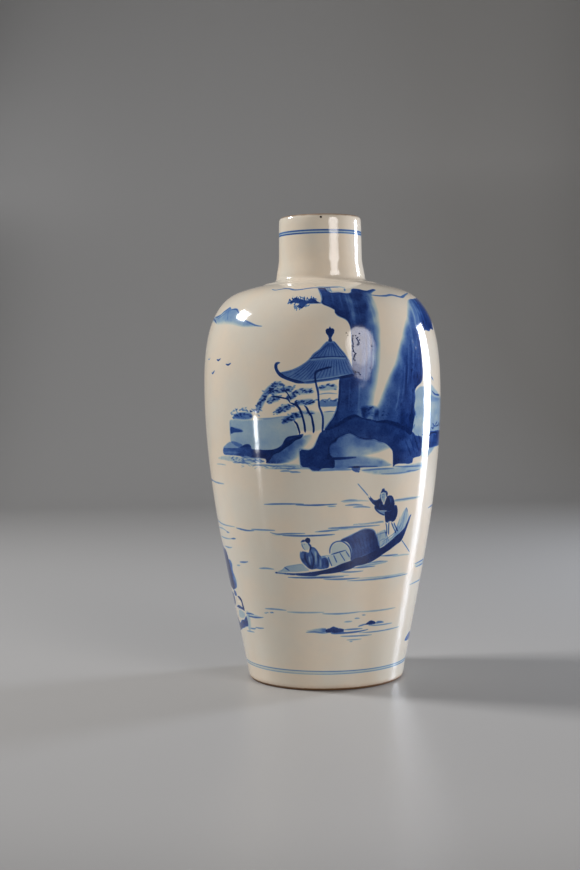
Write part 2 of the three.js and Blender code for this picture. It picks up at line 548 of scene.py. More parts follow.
def paint_shoulder(p):
    """Cloud lines under the neck, and the pine twig that hangs from the cliff."""
    left = [(-35, 209.4), (-31, 208.8), (-26, 209.4), (-22, 209.3), (-18, 208.5), (-14, 208.6), (-9, 209.2)]
    p.line(left + [(-5, 209.4), (0, 209.1), (5, 209.5), (10, 209.2)], 1.4, 1.9)
    p.line([(-4, 209.9), (3, 209.6), (10, 209.9), (14, 209.2)], 2.4, 1, bleed=1)
    for spot in (1.2, 2.6, 4):
        p.line([(spot, 209.6), (spot + 0.3, 208.2), (spot + 1, 206.8)], 1, 1.3, bleed=0.6)
    p.line([(13.6, 208.8), (12.9, 207.2)], 0.9, 1.8, bleed=0.5)
    right = [(28, 205.3), (33, 204.9), (38, 205), (43, 205.6), (47, 205.2), (51, 204.6), (55, 205.4)]
    p.line(right + [(60, 206.4), (68, 207.5)], 1.35, 1.9)
    twig = [
        (-18.6, 201.8), (-16.8, 203), (-15.8, 204.4), (-13.4, 203.9), (-11, 203.3), (-8.6, 202.8),
        (-7, 204), (-5, 203.4), (-3.2, 202), (-1, 201.3), (-3.4, 200.8), (-6, 201.1), (-8.5, 200.5),
        (-10, 199.2), (-11, 198.4), (-12.8, 198.9), (-14.6, 199.6), (-13, 200.8), (-15.2, 201.3),
        (-17.4, 201.3),
    ]
    p.wash(twig, 3.4, soft=0.4, grain=1, hand=0.2)
    p.dabs(
        [(-19, 202.4), (-16, 204), (-12, 204), (-8, 203.4), (-6.4, 204), (-3.6, 202.6)],
        20, (1.7, 0.6), 2.6, 0.35, 115,
    )
    p.dabs(
        [(-18.6, 201.4), (-15, 200.8), (-14.6, 199.2), (-11, 198.3), (-8.4, 200)],
        15, (1.6, 0.6), 2.6, 0.35, 60,
    )
    p.line([(-8, 201), (-4, 201.2), (-1, 201)], 0.9, 2)


def paint_left_cliff(p):
    """The cliff left of the waterfall, from the overhang at the top to its foot."""
    left = [
        (-3.2, 209.4), (-2.6, 208), (-1.3, 206), (-0.7, 203), (-1.2, 201.5), (0, 200.2), (3, 198.8),
        (5.2, 197.5), (5.3, 196), (7, 194.3), (10, 192.8), (11.3, 191.5), (12.2, 189), (12.3, 184),
        (12.2, 176), (12.3, 168), (13, 164.6), (10, 163.8), (6.4, 163), (6, 158), (5.7, 153), (5, 148),
        (3.8, 144.6), (2.3, 141.8), (0.3, 139), (-0.8, 137.4), (2, 137),
    ]
    right = [
        (8, 140, 0.8), (14, 143, 0.8), (18, 142, 1), (22, 145), (22.6, 150), (23.4, 155), (24.6, 160),
        (25.4, 165), (26.2, 170), (26.8, 175), (27.2, 180), (27.6, 185), (28.2, 190), (28.6, 195),
        (29, 200),
    ]
    right = [(*spot[:2], spot[2] if len(spot) > 2 else 4.5) for spot in right]
    top = [
        (28.6, 203.6, 1.6), (29.4, 206, 1.2), (34.6, 208), (33.6, 208.8), (27, 207.8), (23, 208.6),
        (19.4, 208.9), (17.2, 208.2, 0.8), (15.6, 206.6, 0.8), (13, 206.4), (9, 206.8), (4.4, 206.8),
        (2.6, 207.7), (1, 209.3),
    ]
    shades = [
        (-1, 207, 3.2), (2, 203, 3.4), (6, 201, 3.5), (10, 200, 3.5), (8, 195, 4.1), (12, 195, 4),
        (13, 200, 3.3), (14.4, 202, 2.2), (14.4, 195, 2.3), (17.6, 204, 4.1), (18, 197, 4.4),
        (18, 190, 4.2), (21, 205, 4.2), (21.4, 199, 4.2), (20.4, 192, 4), (23.6, 204, 2.4), (24.2, 198, 2),
        (23, 191, 2.1), (27, 205.4, 1.4), (27, 200, 1.3), (26, 192, 1.4), (30, 207.4, 3.2),
        (24.5, 207.6, 3.6), (23, 186, 2), (15, 184, 4.1), (19, 184, 3.6), (15, 175, 4.1), (19, 175, 3.3),
        (23, 174, 1.9), (14, 166, 4), (18, 166, 3), (22, 165, 1.9), (9, 160, 4), (13, 160, 3.9),
        (17, 158, 2.8), (21, 157, 1.6), (9, 152, 4), (13, 151, 3.6), (17, 150, 2.5), (20, 149, 1.7),
        (6, 144, 3.9), (11, 145, 3.3), (2, 139, 4), (17, 145, 2.2),
    ]
    p.wash(left + right + top, 3.6, soft=0.42, mottle=0.13, size=(1.7, 7), inks=shades)
    p.line(
        [(-3, 208.6), (-1.4, 206), (-0.6, 203), (-1, 201.6), (0.2, 200.4), (3.2, 199), (5.4, 197.6)],
        1.0, 1.4,
    )
    p.line(
        [(5.6, 196.2), (7.3, 194.6), (10.2, 193.1), (11.8, 191.6), (12.6, 189)],
        1.2, 1.6, ends=(0.1, 0.3),
    )
    p.line(
        [(6.6, 162), (6.4, 156), (5.9, 151), (4.8, 146.4), (3, 142.6), (0.6, 139.4), (-0.6, 137.8)],
        1.1, 1.2,
    )
    high = [
        (14.2, 205.6, 190, 2, 0.22), (12.4, 205, 197, 0.9, 0.3), (9, 205, 198, 0.7, 0.2),
        (4.6, 206, 200, 0.7, 0.2), (17.4, 203, 191, 0.6, 0.16), (24.6, 204, 190, 0.9, 0.25),
        (26.6, 204.6, 192, 0.7, 0.25),
    ]
    p.streaks((0.24, 0.6), high, mode="lift")
    low = [
        (21.2, 186, 166, 0.7, 0.3), (23.2, 186, 168, 0.8, 0.35), (18.8, 184, 160, 0.6, 0.25),
        (11.2, 161, 147, 0.7, 0.2), (15.8, 162, 147, 0.8, 0.3),
    ]
    p.streaks((-0.36, -0.9), low, mode="lift")
    dark = [(16.8, 187, 160, 0.9, 0.8), (19.8, 188, 162, 0.8, 0.8), (22.2, 189, 160, 0.8, 0.7)]
    p.streaks((-0.2, -1.2), dark, bleed=0.7)
    p.line([(0, 208.8), (4, 207.4), (9, 207.2), (13, 207.4)], 0.5, 0.7)
    foot = [
        (16, 148.6, 1.6), (20.4, 149.4, 1.6), (23.6, 149, 1.6), (25.4, 146.6, 1.2), (25, 143, 1.2),
        (21, 141, 1.2),
    ]
    p.wash(foot + [(17, 142.6, 1.2)], 1.9, mottle=0.3, size=(2, 2))
    for path in ([(16, 146.6), (20, 148), (23, 147.4)], [(18, 144.4), (24, 145), (30, 144)]):
        p.dabs(path, 12, (1.1, 0.8), 0.9, 1)


def paint_right_cliff(p):
    """The pale slope and dark face right of the waterfall."""
    left = [
        (51.5, 201), (47, 195), (43, 190), (40.4, 185), (37.8, 180), (35.8, 175), (33.8, 170), (31, 165),
    ]
    left = [(*spot, 3.2) for spot in left + [(28.6, 160), (26.6, 155), (24.6, 150), (22.8, 147)]]
    right = [
        (66, 204.4), (76, 205.2), (86, 206.6), (94, 206), (100, 203.4), (104, 199.6), (101, 196.8),
        (96, 198.4), (92.4, 194.6), (87, 195.8), (84, 191.2), (79, 192.2), (75, 187.8), (70, 188.2),
        (66, 186.8), (60, 187.2), (54.6, 185.6), (53.4, 181), (53.4, 172), (53.3, 165), (52.4, 160.6),
        (49.2, 158.4), (46.8, 156), (46.8, 152), (46.2, 148), (46.8, 144), (46, 140), (45.5, 136),
        (44, 133),
    ]
    path = [(22, 141, 1)] + left[::-1] + [(57, 203.6, 0.8)] + [(*spot, 0.42) for spot in right]
    path += [(38, 136, 0.8), (30, 139, 0.8)]
    shades = [
        (53.5, 200, 1.3), (57, 201, 1.8), (60.5, 198, 2.1), (64, 200, 2.8), (70, 198, 3.6), (80, 200, 3.9),
        (90, 201, 3), (100, 201, 2.4), (83, 194, 4.2), (47, 192, 1.4), (50, 192, 2.4), (54, 194, 2),
        (57, 191, 2.6), (60.5, 190, 3.6), (41.8, 184, 1.8), (45, 184, 2.4), (49, 183, 3.2), (52, 182, 3.2),
        (37.6, 172, 1.9), (40.6, 172, 3), (45, 172, 3.2), (51, 170, 3.6), (31, 160, 2), (34.4, 161, 2.9),
        (39, 161, 3.3), (48, 162, 4.4), (28, 152, 2.1), (31, 152, 2.8), (37, 151, 3.2), (44, 150, 3.6),
        (26, 145, 2.5), (33, 144, 3), (40, 141, 4.2), (45, 139, 4.4), (66, 191, 4),
    ]
    p.wash(path, 3.2, mottle=0.15, size=(1.8, 9), inks=shades)
    pale = [
        (54.2, 200, 189, 1.6, 0.35), (58.4, 202, 190, 1.0, 0.3), (47.6, 188, 164, 0.8, 0.25),
        (50.4, 184, 170, 0.8, 0.2), (43.6, 180, 158, 0.8, 0.25), (40, 168, 150, 0.8, 0.25),
        (36.4, 158, 146, 0.8, 0.3), (74, 203, 191, 0.9, 0.3), (81, 204, 194, 0.8, 0.3),
        (89.6, 205, 197, 1, 0.35), (96.4, 204.6, 199.6, 0.8, 0.3),
    ]
    p.streaks((-0.8, -2.4), pale, mode="lift")
    dark = [
        (62.4, 203, 189, 1.4, 0.8), (52.6, 184, 162, 1.2, 0.8), (45.6, 184, 160, 1, 0.6),
        (41.6, 174, 152, 0.9, 0.6), (45.4, 156, 141, 1.1, 0.7),
    ]
    p.streaks((-0.6, -1.8), dark, bleed=0.6)
    p.dabs([(44, 169), (48, 165), (50, 160), (45, 158)], 16, (2, 1.2), 0.9, 1.6, 80)
    p.dabs([(38, 145), (43, 143), (45, 138), (39, 137.6)], 14, (1.8, 1.2), 0.9, 1.4, 60)
    p.line([(46.6, 155.6), (46.8, 152), (46.1, 148), (46.6, 144), (45.8, 140), (45.4, 136)], 0.8, 1)


def paint_arch_rock(p):
    """The rock with a low arch at the cliffs' foot, and the water under it."""
    top = [
        (-0.4, 137.6), (3.5, 139.5), (7, 142), (11, 144.4), (14, 144.8), (17, 143), (21, 142.3),
        (24, 141.2), (28, 141.8), (32, 141), (36, 140), (39, 138), (43, 136.4), (46, 134.4), (48, 133),
        (53, 131.5),
    ]
    right = [
        (53, 126), (53, 122), (49, 121.3), (46.8, 120.7), (46.5, 118.8), (43.5, 118), (39, 118.6),
        (35, 118.3), (33.5, 117), (33.2, 120), (33, 124),
    ]
    arch = [
        (32, 126.5), (30, 128.5), (28, 129.5), (25, 130.5), (23, 131.5), (18, 132), (15, 133), (13, 134.3),
        (11, 135), (8, 134), (5.5, 133), (4.5, 131), (2.5, 130), (1.5, 128), (2, 124.5), (3.8, 122.5),
        (3.8, 118),
    ]
    left = [
        (1, 117.6), (-2, 117.5), (-3.6, 116.5), (-6.5, 116.6), (-8, 118), (-11, 118.3), (-12, 119.5),
        (-12.3, 126.5), (-11.4, 127.6), (-8, 127.3), (-6, 128.3), (-4.8, 130.5), (-3.8, 133), (-2.6, 135.6),
    ]
    shades = [
        (0, 133, 3.8), (-2, 127, 3.7), (-8, 123, 3.8), (2, 121, 4.4), (6, 138, 3.8), (14, 140, 3.7),
        (22, 137, 3.5), (30, 136, 3.7), (38, 134, 3.9), (44, 129, 2.8), (50, 128, 2.7), (37, 123, 4.2),
        (42, 122, 3.4), (50, 123, 3.4),
    ]
    p.wash(top + right + arch + left, 3.6, soft=0.4, mottle=0.12, size=(3.5, 2.5), inks=shades)
    p.line(arch, 0.8, 0.9)
    p.line(left, 0.8, 0.7)
    for turn, height in ((40.5, 124), (43.5, 125), (46.5, 126), (49.4, 127)):
        p.line(
            [(turn, height + 6.6), (turn + 2, height + 3), (turn + 4.4, height - 1.6)],
            0.9, 0.8, bleed=0.7,
        )
    water = [
        (1, 122), (0.8, 126), (1.6, 130.4), (4.6, 133.2), (8.4, 134.6), (12.6, 135.2), (15, 133.6),
        (20, 132.4), (24, 131.4), (28.4, 129.6, 0.8), (31.4, 127.4, 1.4), (29, 125.8, 2), (22, 124, 1.6),
        (14, 122.6, 1),
    ]
    shades = [
        (3, 128, 2.7), (9, 131, 2.2), (14, 131, 2), (20, 129.6, 1.8), (27, 128.4, 1.1), (12, 126.6, 1.3),
    ]
    p.wash(
        water,
        1.4, soft=0.6, inks=shades + [(20, 126, 0.8), (12, 124.4, 0.9), (4, 124, 2.2)], mottle=0.2,
    )
    shades = [
        (4, 120, 2.1), (10, 121, 1.7), (18, 121.4, 1.5), (26, 119.6, 1.5), (30, 118.6, 1), (22, 122.6, 1),
    ]
    low = [
        (3, 117.8), (3, 122.4), (10, 123.8, 1), (18, 123.8, 1.4), (26, 122.4, 1.6), (31.4, 119.6, 1),
        (32.6, 117.8),
    ]
    p.wash(low + [(18, 117.4)], 1.5, soft=0.5, inks=shades, mottle=0.2, size=(4, 1))
    p.line([(3, 122.6), (8, 122.6), (14, 123)], 1.4, 1.9, ends=(0.05, 0.9))
    p.line([(10, 118.1), (16, 118.2), (25, 117.9)], 0.9, 1.6)
    p.wash(
        [(12, 116.6), (12.2, 118.4), (15.6, 118.5), (16.2, 116.8), (15.6, 115), (14, 115.2)],
        2.8, soft=0.4, grain=1,
    )
    p.line([(12.4, 118), (15.8, 118)], 0.9, 1.8)
    p.line([(-4, 116.6), (4, 117.1), (12, 116.8)], 1.3, 1.5)
    wake = [
        (16, 117.4), (34, 117.6), (46, 118.2), (55, 118.6), (56, 115.6), (48, 113.8), (38, 113.2),
        (26, 113.4),
    ]
    p.wash(wake + [(17, 115.4)], 0.7, soft=1.2, mottle=0.3, size=(5, 1))
    p.line([(17, 116.2), (25, 116.6), (34, 116.5)], 0.9, 1.1)
    p.line([(34, 117.6), (42, 117), (54, 116.6)], 0.8, 1.2)
    p.line([(27, 114), (36, 113.8), (45, 114.2)], 0.8, 1)
    p.line([(42, 114.6), (48, 114.5), (53, 115)], 0.6, 1.1)


def paint_far_shore(p):
    """The low land and the water's edge at the right."""
    bank = [
        (45, 128), (45.4, 138), (46, 146), (46.4, 152), (46.6, 155.6), (49.6, 158), (53.6, 158.4),
        (58, 157), (62, 153.6), (72, 152), (84, 151.6), (98, 150), (112, 146.5), (124, 142), (130, 137, 2),
        (116, 131), (84, 131), (60, 121, 1), (54, 120.8), (52, 124),
    ]
    p.wash(bank, 0.8, soft=0.8, mottle=0.25, size=(7, 3))
    slope = [(60.6, 150), (61, 159), (66, 157), (74, 154), (84, 151, 2), (76, 150, 2)]
    p.wash(slope, 0.6, soft=0.8)
    p.line([(62, 155.6), (66, 153.8), (71, 153.2), (76, 153)], 0.9, 2.2)
    p.line([(61.5, 163), (62.6, 162.4), (64.4, 161)], 0.9, 2)
    shore = [
        (54, 127), (60, 134), (66, 134.4), (75, 134.4), (84, 134), (96, 133.2), (108, 132.4), (120, 130),
        (112, 127.6), (98, 126.6), (84, 126), (72, 125.6), (60, 125.6),
    ]
    p.wash(shore, 2.6, soft=0.5, mottle=0.25, size=(4, 1.6))
    p.line([(53, 133), (58, 132.2), (64, 133.4), (72, 133)], 0.8, 1.8)
    p.dabs([(64, 136), (72, 137.4), (82, 136.6), (94, 136)], 26, (2.6, 1.1), 2, 1)


def paint_mountain(p):
    """The far hills and the birds at the left."""
    hill = [
        (-80, 196.8), (-70, 197.4), (-66, 198.6), (-62, 200.1), (-60.3, 200.9), (-58, 200.3), (-55, 199.8),
        (-52.5, 199.9), (-50, 198.5), (-46, 195.8), (-42, 193.4), (-36, 191), (-32, 189.9, 1.5),
        (-42, 189.6, 1.5), (-54, 191.4, 2.5), (-66, 191.6, 2.5), (-80, 193.4, 2), (-106, 191), (-104, 195),
    ]
    shades = [
        (-60, 199, 1.35), (-53, 198, 1.35), (-66, 197, 0.9), (-58, 195, 1), (-50, 195, 1), (-60, 192, 0.5),
        (-76, 195, 0.8), (-40, 191.6, 1.1),
    ]
    p.wash(hill, 1, soft=0.6, mottle=0.2, size=(6, 3), inks=shades)
    p.line([(-67, 198), (-62, 200), (-60.3, 200.8), (-58.2, 200.1)], 0.8, 1.5)
    p.line([(-57, 199.5), (-54, 199.7), (-51.5, 199.3), (-50, 198.3), (-47, 196.4)], 0.9, 1.8)
    p.line([(-92, 196.4), (-80, 195.4), (-74, 194.3), (-69, 192.8)], 0.9, 2)
    p.line([(-78, 196.4), (-71, 196.4), (-65, 198)], 0.7, 1.2)
    p.line([(-70, 195), (-64, 197), (-61, 198.6)], 0.6, 0.8)
    p.line([(-43.5, 193.8), (-38, 191.7), (-34.5, 190.4), (-31, 189.9)], 0.8, 1.8)
    p.line([(-60, 199.6), (-58, 196), (-55.4, 193)], 0.5, 0.6)
    birds = ((-71.5, 174, 0.6, 1.6), (-59.3, 173.4, 0.95, 3.4), (-50.7, 170.9, 0.95, 3.6))
    for turn, height, width, ink in birds:
        path = [(turn - 1.9, height + 0.2), (turn, height - 0.3), (turn + 2, height + 0.6)]
        p.line(path, width, ink, ends=(0.4, 0.4))
    p.line([(-66.6, 166.8), (-65.2, 166.3), (-63, 167.8)], 0.9, 2.6, ends=(0.4, 0.4))


def paint_pavilion(p):
    """The pavilion between the trees: two tiers of roof with a finial, and its bent posts."""
    left = [
        (1.3, 181.6), (0, 180), (-2, 177.5), (-5, 175), (-6.5, 172.8), (-9, 170.5), (-13, 168),
        (-17, 166.6), (-20.5, 166.2), (-19.5, 164.6), (-16.5, 163), (-13.5, 161.8), (-9.5, 160.8),
    ]
    eave = [(-6, 161.1), (-3.5, 161.6), (2, 162.3), (6.5, 163.2), (10, 163.8), (13.2, 164.3)]
    right = [(13.4, 165.4), (12.5, 168), (11, 171.5), (9.5, 174.5), (7, 178), (4.5, 181.5)]
    p.wash(left + eave + right, 2.1, soft=0.45, mottle=0.12, size=(3, 3))
    p.line([(4.3, 181.6), (6.8, 178), (9.3, 174.5), (10.9, 171.5), (12.3, 168), (13.2, 165)], 0.9, 1.6)
    p.line(left[:9], 0.9, 1.8, ends=(0.1, 0.1))
    tip = [(-20.7, 171.2), (-22.3, 170.8), (-22.6, 169), (-21.8, 166.8), (-20, 164.8), (-17, 163.1)]
    p.line(tip + [(-13.5, 161.8), (-9.5, 160.9)], 1.6, 4, ends=(0.15, 0.2))
    p.line([(-9.8, 160.8)] + eave, 1.1, 2.2, ends=(0.1, 0.1))
    p.line([(6, 163.3), (9, 163.9), (13, 164.6)], 1.3, 2.4, ends=(0.4, 0.05))
    for index in range(9):
        t = index / 8
        top = 1.8 + 2 * t
        middle = -5.8 + 14.6 * t
        rise = 2.4 * math.sin(math.pi * t)
        path = [
            (top, 180.6), ((top * 1.2 + middle * 0.8) / 2, 177.4 + rise * 0.4),
            (middle, 173.2 + rise * 0.3),
        ]
        p.line(path, 0.5, 0.9, ends=(0.2, 0.15))
    for index in range(17):
        t = index / 16
        top = -6.2 + 15.2 * t
        foot = -17.5 + 30 * t**0.94
        low = 162.8 - 1.4 * math.sin(math.pi * min(1, t * 1.25)) + 2 * t
        path = [
            (top, 171.8 + 0.6 * t), (top * 0.5 + foot * 0.5, (171.8 + low) / 2 - 0.5), (foot, low + 0.4),
        ]
        p.line(path, 0.5, 0.9, ends=(0.15, 0.15))
    p.line([(-6.8, 172.3), (-2, 172.8), (3, 173.2), (9.6, 172.9)], 0.7, 0.3, mode="lift", ends=(0.05, 0.05))
    p.line([(-6.8, 173.1), (-2, 173.6), (3, 173.9), (9.8, 173.6)], 0.6, 1.5, ends=(0.05, 0.05))
    p.line([(-9.6, 162), (-3, 162.7), (5, 163.9), (11, 165)], 0.5, 0.35, mode="lift", ends=(0.1, 0.1))
    finial = [
        (1.6, 181.4), (1.9, 183), (1.3, 184.6), (0.6, 185.7), (0.5, 187.2), (1.2, 188.1), (2, 188.1),
        (2.7, 189.3), (3.4, 188.2), (4.2, 188.1), (4.9, 187.2), (4.7, 185.7), (4, 184.6), (3.4, 183),
        (3.8, 181.4),
    ]
    p.wash(finial, 4.4, soft=0.3, grain=0.8, hand=0.03)
    post = [
        (3, 168.6), (0, 168), (-4, 166.2), (-4.4, 163), (-4, 160), (-3.2, 156), (-3, 152), (-2.8, 149),
        (-1.8, 146),
    ]
    p.line(post + [(-1.2, 143), (-1.3, 139), (-1.6, 136)], 1, 3.6, ends=(0.05, 0.05))
    p.wash([(-3, 157), (-3, 159.6), (1, 160.4), (5.2, 160), (5.4, 157.4), (1, 156.6)], 0.8, soft=0.8)
    p.dabs([(-2.4, 158.6), (1, 159), (4.6, 158.6)], 12, (1.6, 0.9), 1.8, 0.6)
    p.wash([(-3, 149), (-2.8, 151.4), (1, 152.2), (5.3, 152), (5.4, 149), (1, 148.6)], 1.7, soft=0.5)
    p.dabs([(-2, 151.8), (2, 152.4), (5, 152)], 9, (1.4, 0.9), 1.6, 0.3)
    p.line([(-1, 146.1), (2, 146.4), (4.5, 146.2)], 0.6, 1.6)
    p.wash([(-1.4, 138), (-1.4, 145.6), (4, 145.8), (3, 142.6), (1, 139.4)], 0.5, soft=0.6)
    p.line([(-3, 155), (1, 155.6), (5.4, 155.2)], 0.6, 1.2)


def paint_trees(p):
    """Trunks and layered leaves left of the pavilion."""
    for path, width in (
        ([(-25, 154.3), (-22, 154), (-19, 153.4), (-17, 152.8), (-16, 151)], 0.7),
        ([(-16, 151), (-13, 149.6), (-11.5, 147.5), (-10.4, 144), (-9.6, 140), (-9.3, 136)], 1.1),
        (
            [
                (-9.5, 149.5), (-8.5, 148.5), (-7.5, 146), (-6.3, 144), (-5.8, 141), (-5.4, 138),
                (-5.6, 135.7),
            ],
            1,
        ),
        ([(-14.5, 142), (-13.2, 140.5), (-12.5, 138.5), (-11.9, 136), (-12, 135)], 0.9),
        ([(-19, 158), (-17, 155.5), (-15.5, 152.5)], 0.6),
    ):
        p.line(path, width, 4.6, ends=(0.15, 0.05))
    p.wash([(-13, 137), (-13.6, 141), (-12, 145), (-6, 146.4), (-2, 146), (-2, 137)], 0.35, soft=1)
    arc = [
        (-33, 146.5), (-32, 148), (-31, 150), (-29.5, 152.5), (-28, 155), (-26.5, 157), (-24.5, 159),
        (-22, 160.3),
    ]
    for path, width, wash, count, ink in (
        (arc + [(-19.5, 160.2)], 3, 1.3, 74, 1.7),
        ([(-27, 151.6), (-24, 153), (-21, 153.6)], 3, 1, 26, 1.5),
        ([(-25, 156.2), (-20, 157.4), (-14.5, 158)], 3, 1.1, 40, 1.5),
        ([(-13.4, 156), (-11, 156.6), (-5.5, 156.8)], 2.6, 0.9, 28, 1.5),
        ([(-17.4, 153), (-15, 154.4), (-13, 155)], 3, 1, 20, 1.5),
        ([(-14, 150.6), (-10, 151.2), (-5, 151.4)], 2.6, 1.2, 34, 1.7),
        ([(-23, 146.2), (-19.5, 148), (-15.5, 149.2)], 3, 1.2, 34, 1.6),
        ([(-19.5, 141.6), (-16, 143.4), (-12, 144.8)], 3.2, 1.2, 36, 1.6),
        ([(-15, 145), (-10, 146), (-5, 146)], 1.8, 0.9, 14, 1.2),
    ):
        p.line(path, width, wash, bleed=1, ends=(0.12, 0.12))
        p.dabs(path, count, (1.1, 0.8), ink, 0.78)


def paint_left_bank(p):
    """The bank left of the trees, with its shore, bushes and sloping path."""
    block = [
        (-50.2, 142), (-47, 142.6), (-40, 142.4), (-33, 142.5), (-26, 143.3), (-20, 144), (-16.5, 144.3),
        (-14.6, 142), (-13.2, 139), (-12.4, 136), (-13.2, 134.4), (-17, 133), (-19, 131), (-22, 127.8),
        (-27, 126.4), (-35, 126.6), (-38, 128.4), (-44, 127.8), (-50, 130.4), (-50.4, 134), (-50.4, 138),
    ]
    shades = [
        (-47, 140, 0.75), (-46, 133, 0.9), (-30, 139, 0.8), (-30, 131, 0.9), (-20, 140, 0.75),
        (-18, 136, 0.7),
    ]
    p.wash(block, 0.8, soft=0.5, mottle=0.16, size=(5, 4), inks=shades)
    p.line([(-50.2, 134), (-50.2, 138.6), (-49.8, 141.6)], 0.6, 0.9, ends=(0.05, 0.2))
    p.line([(-33, 142.9), (-26, 143.2), (-20, 144), (-16.5, 144.4)], 0.7, 1)
    bush = [
        (-48, 143), (-46.6, 145.4), (-42, 146.6), (-37, 146.4), (-34.8, 144.6), (-36.6, 142.4),
        (-44, 142.2),
    ]
    p.wash(bush, 1.9, soft=1, mottle=0.3, size=(2, 1.5))
    p.dabs([(-49, 145.6), (-46, 147), (-41, 147.8), (-36, 147.4), (-33, 146.6)], 26, (1.2, 0.8), 1.5, 0.6)
    p.dabs([(-47, 144), (-42, 145.2), (-36, 144.8)], 16, (1.3, 0.9), 1.3, 0.6)
    wedge = [
        (-49.9, 138.6), (-46, 137.9), (-43, 137.4), (-41.2, 136.5), (-43, 135.8), (-47, 135.5),
        (-49.9, 134.9),
    ]
    p.wash(wedge, 2.5, soft=0.4, grain=1, hand=0.05)
    p.line(wedge[:5], 0.7, 0.8)
    light = [(-57, 127), (-54.4, 129.4), (-50, 131.3), (-46, 131), (-42, 129.4), (-46, 127.4)]
    p.wash(light, 1.3, soft=0.5)
    shore = [
        (-57.2, 127.2), (-53, 127.6), (-48, 127.6), (-44, 128.4), (-40.6, 129.9), (-38, 130),
        (-36.9, 129.2), (-36.4, 127.7), (-33, 127.5), (-27, 127.3), (-23, 128.2), (-20.6, 130),
        (-19.2, 132.4), (-17.6, 134), (-14, 134.7), (-10, 135.3), (-11, 133.2), (-13.6, 131.8), (-16, 130),
        (-18.4, 128.2), (-21, 126.2), (-24.6, 124.6), (-26, 123), (-27.6, 120.6), (-29.2, 120.3),
        (-29.4, 122.4), (-36, 122.9), (-45, 123.5), (-52, 123.6), (-57.2, 124),
    ]
    shades = [
        (-55, 126, 2.3), (-47, 126, 2.8), (-40, 128, 3.3), (-42, 124, 3.4), (-32, 125, 4.5),
        (-25, 126, 4.6), (-28, 122, 4.2), (-20, 129, 3.8), (-17, 132.4, 4.5), (-12, 134.4, 3.6),
    ]
    p.wash(shore, 3.2, soft=0.4, mottle=0.14, size=(3, 1.6), inks=shades)
    p.line([(-56, 125), (-50, 125.3), (-44, 125.2)], 1, 0.25, mode="lift", bleed=0.6)
    p.line([(-44, 123.3), (-38, 122.9), (-30, 122.8)], 0.6, 1.4)
    path = [
        (-27, 124.2), (-22.6, 127), (-20, 129.6), (-17, 132), (-13, 133.8), (-7, 135.2, 1), (-6, 133, 2.5),
        (-10.6, 127, 3), (-13, 123, 3), (-17, 120.6, 1.5), (-22, 120, 0.6), (-29, 120.2, 0.5), (-28.6, 122),
    ]
    shades = [
        (-26, 121.4, 3.4), (-23, 122, 2.8), (-20, 125.6, 2.6), (-17, 128.6, 2.4), (-13, 131.6, 2),
        (-16, 124, 1.6), (-13, 127, 1.2), (-18, 121.4, 1.9), (-8, 133, 0.8),
    ]
    p.wash(path, 1.6, mottle=0.2, size=(5, 1.4), inks=shades)


def paint_water_edge(p):
    """Dashes and short touches where the land meets the river."""
    edge = [
        (-64, 121.4), (-60, 123), (-52, 123.6), (-36, 122.8), (-30, 122), (-31, 120.2), (-40, 119.8),
        (-50, 120.2),
    ]
    p.wash(edge, 0.6, soft=0.7, mottle=0.35, size=(2, 1.2))
    p.wash(
        [(-30, 119.8), (-20, 120.2), (-13, 120), (-10, 118.4), (-14, 117), (-24, 117.2)],
        0.6, soft=0.8, mottle=0.25,
    )
    p.dabs([(-50, 122), (-40, 121.8), (-31, 121.2)], 30, (1.8, 0.7), 0.9, 0.9)
    p.dabs([(-44, 119.6), (-30, 118.8), (-14, 118)], 26, (2, 0.6), 0.7, 0.8)
    dashes = [
        (-50, -38, 120, 0.8, 1.2), (-38, -26, 119.1, 0.8, 1.1), (-30, -5, 117.5, 0.7, 0.7),
        (-27, -14, 118.8, 0.7, 0.9), (-43, -30, 121.3, 0.7, 0.7), (-22, -16, 116.3, 0.8, 1.3),
        (-17, -12, 115.8, 0.9, 1.4), (-66, -56, 118.4, 0.6, 0.8),
    ]
    p.dashes(0.2, dashes)


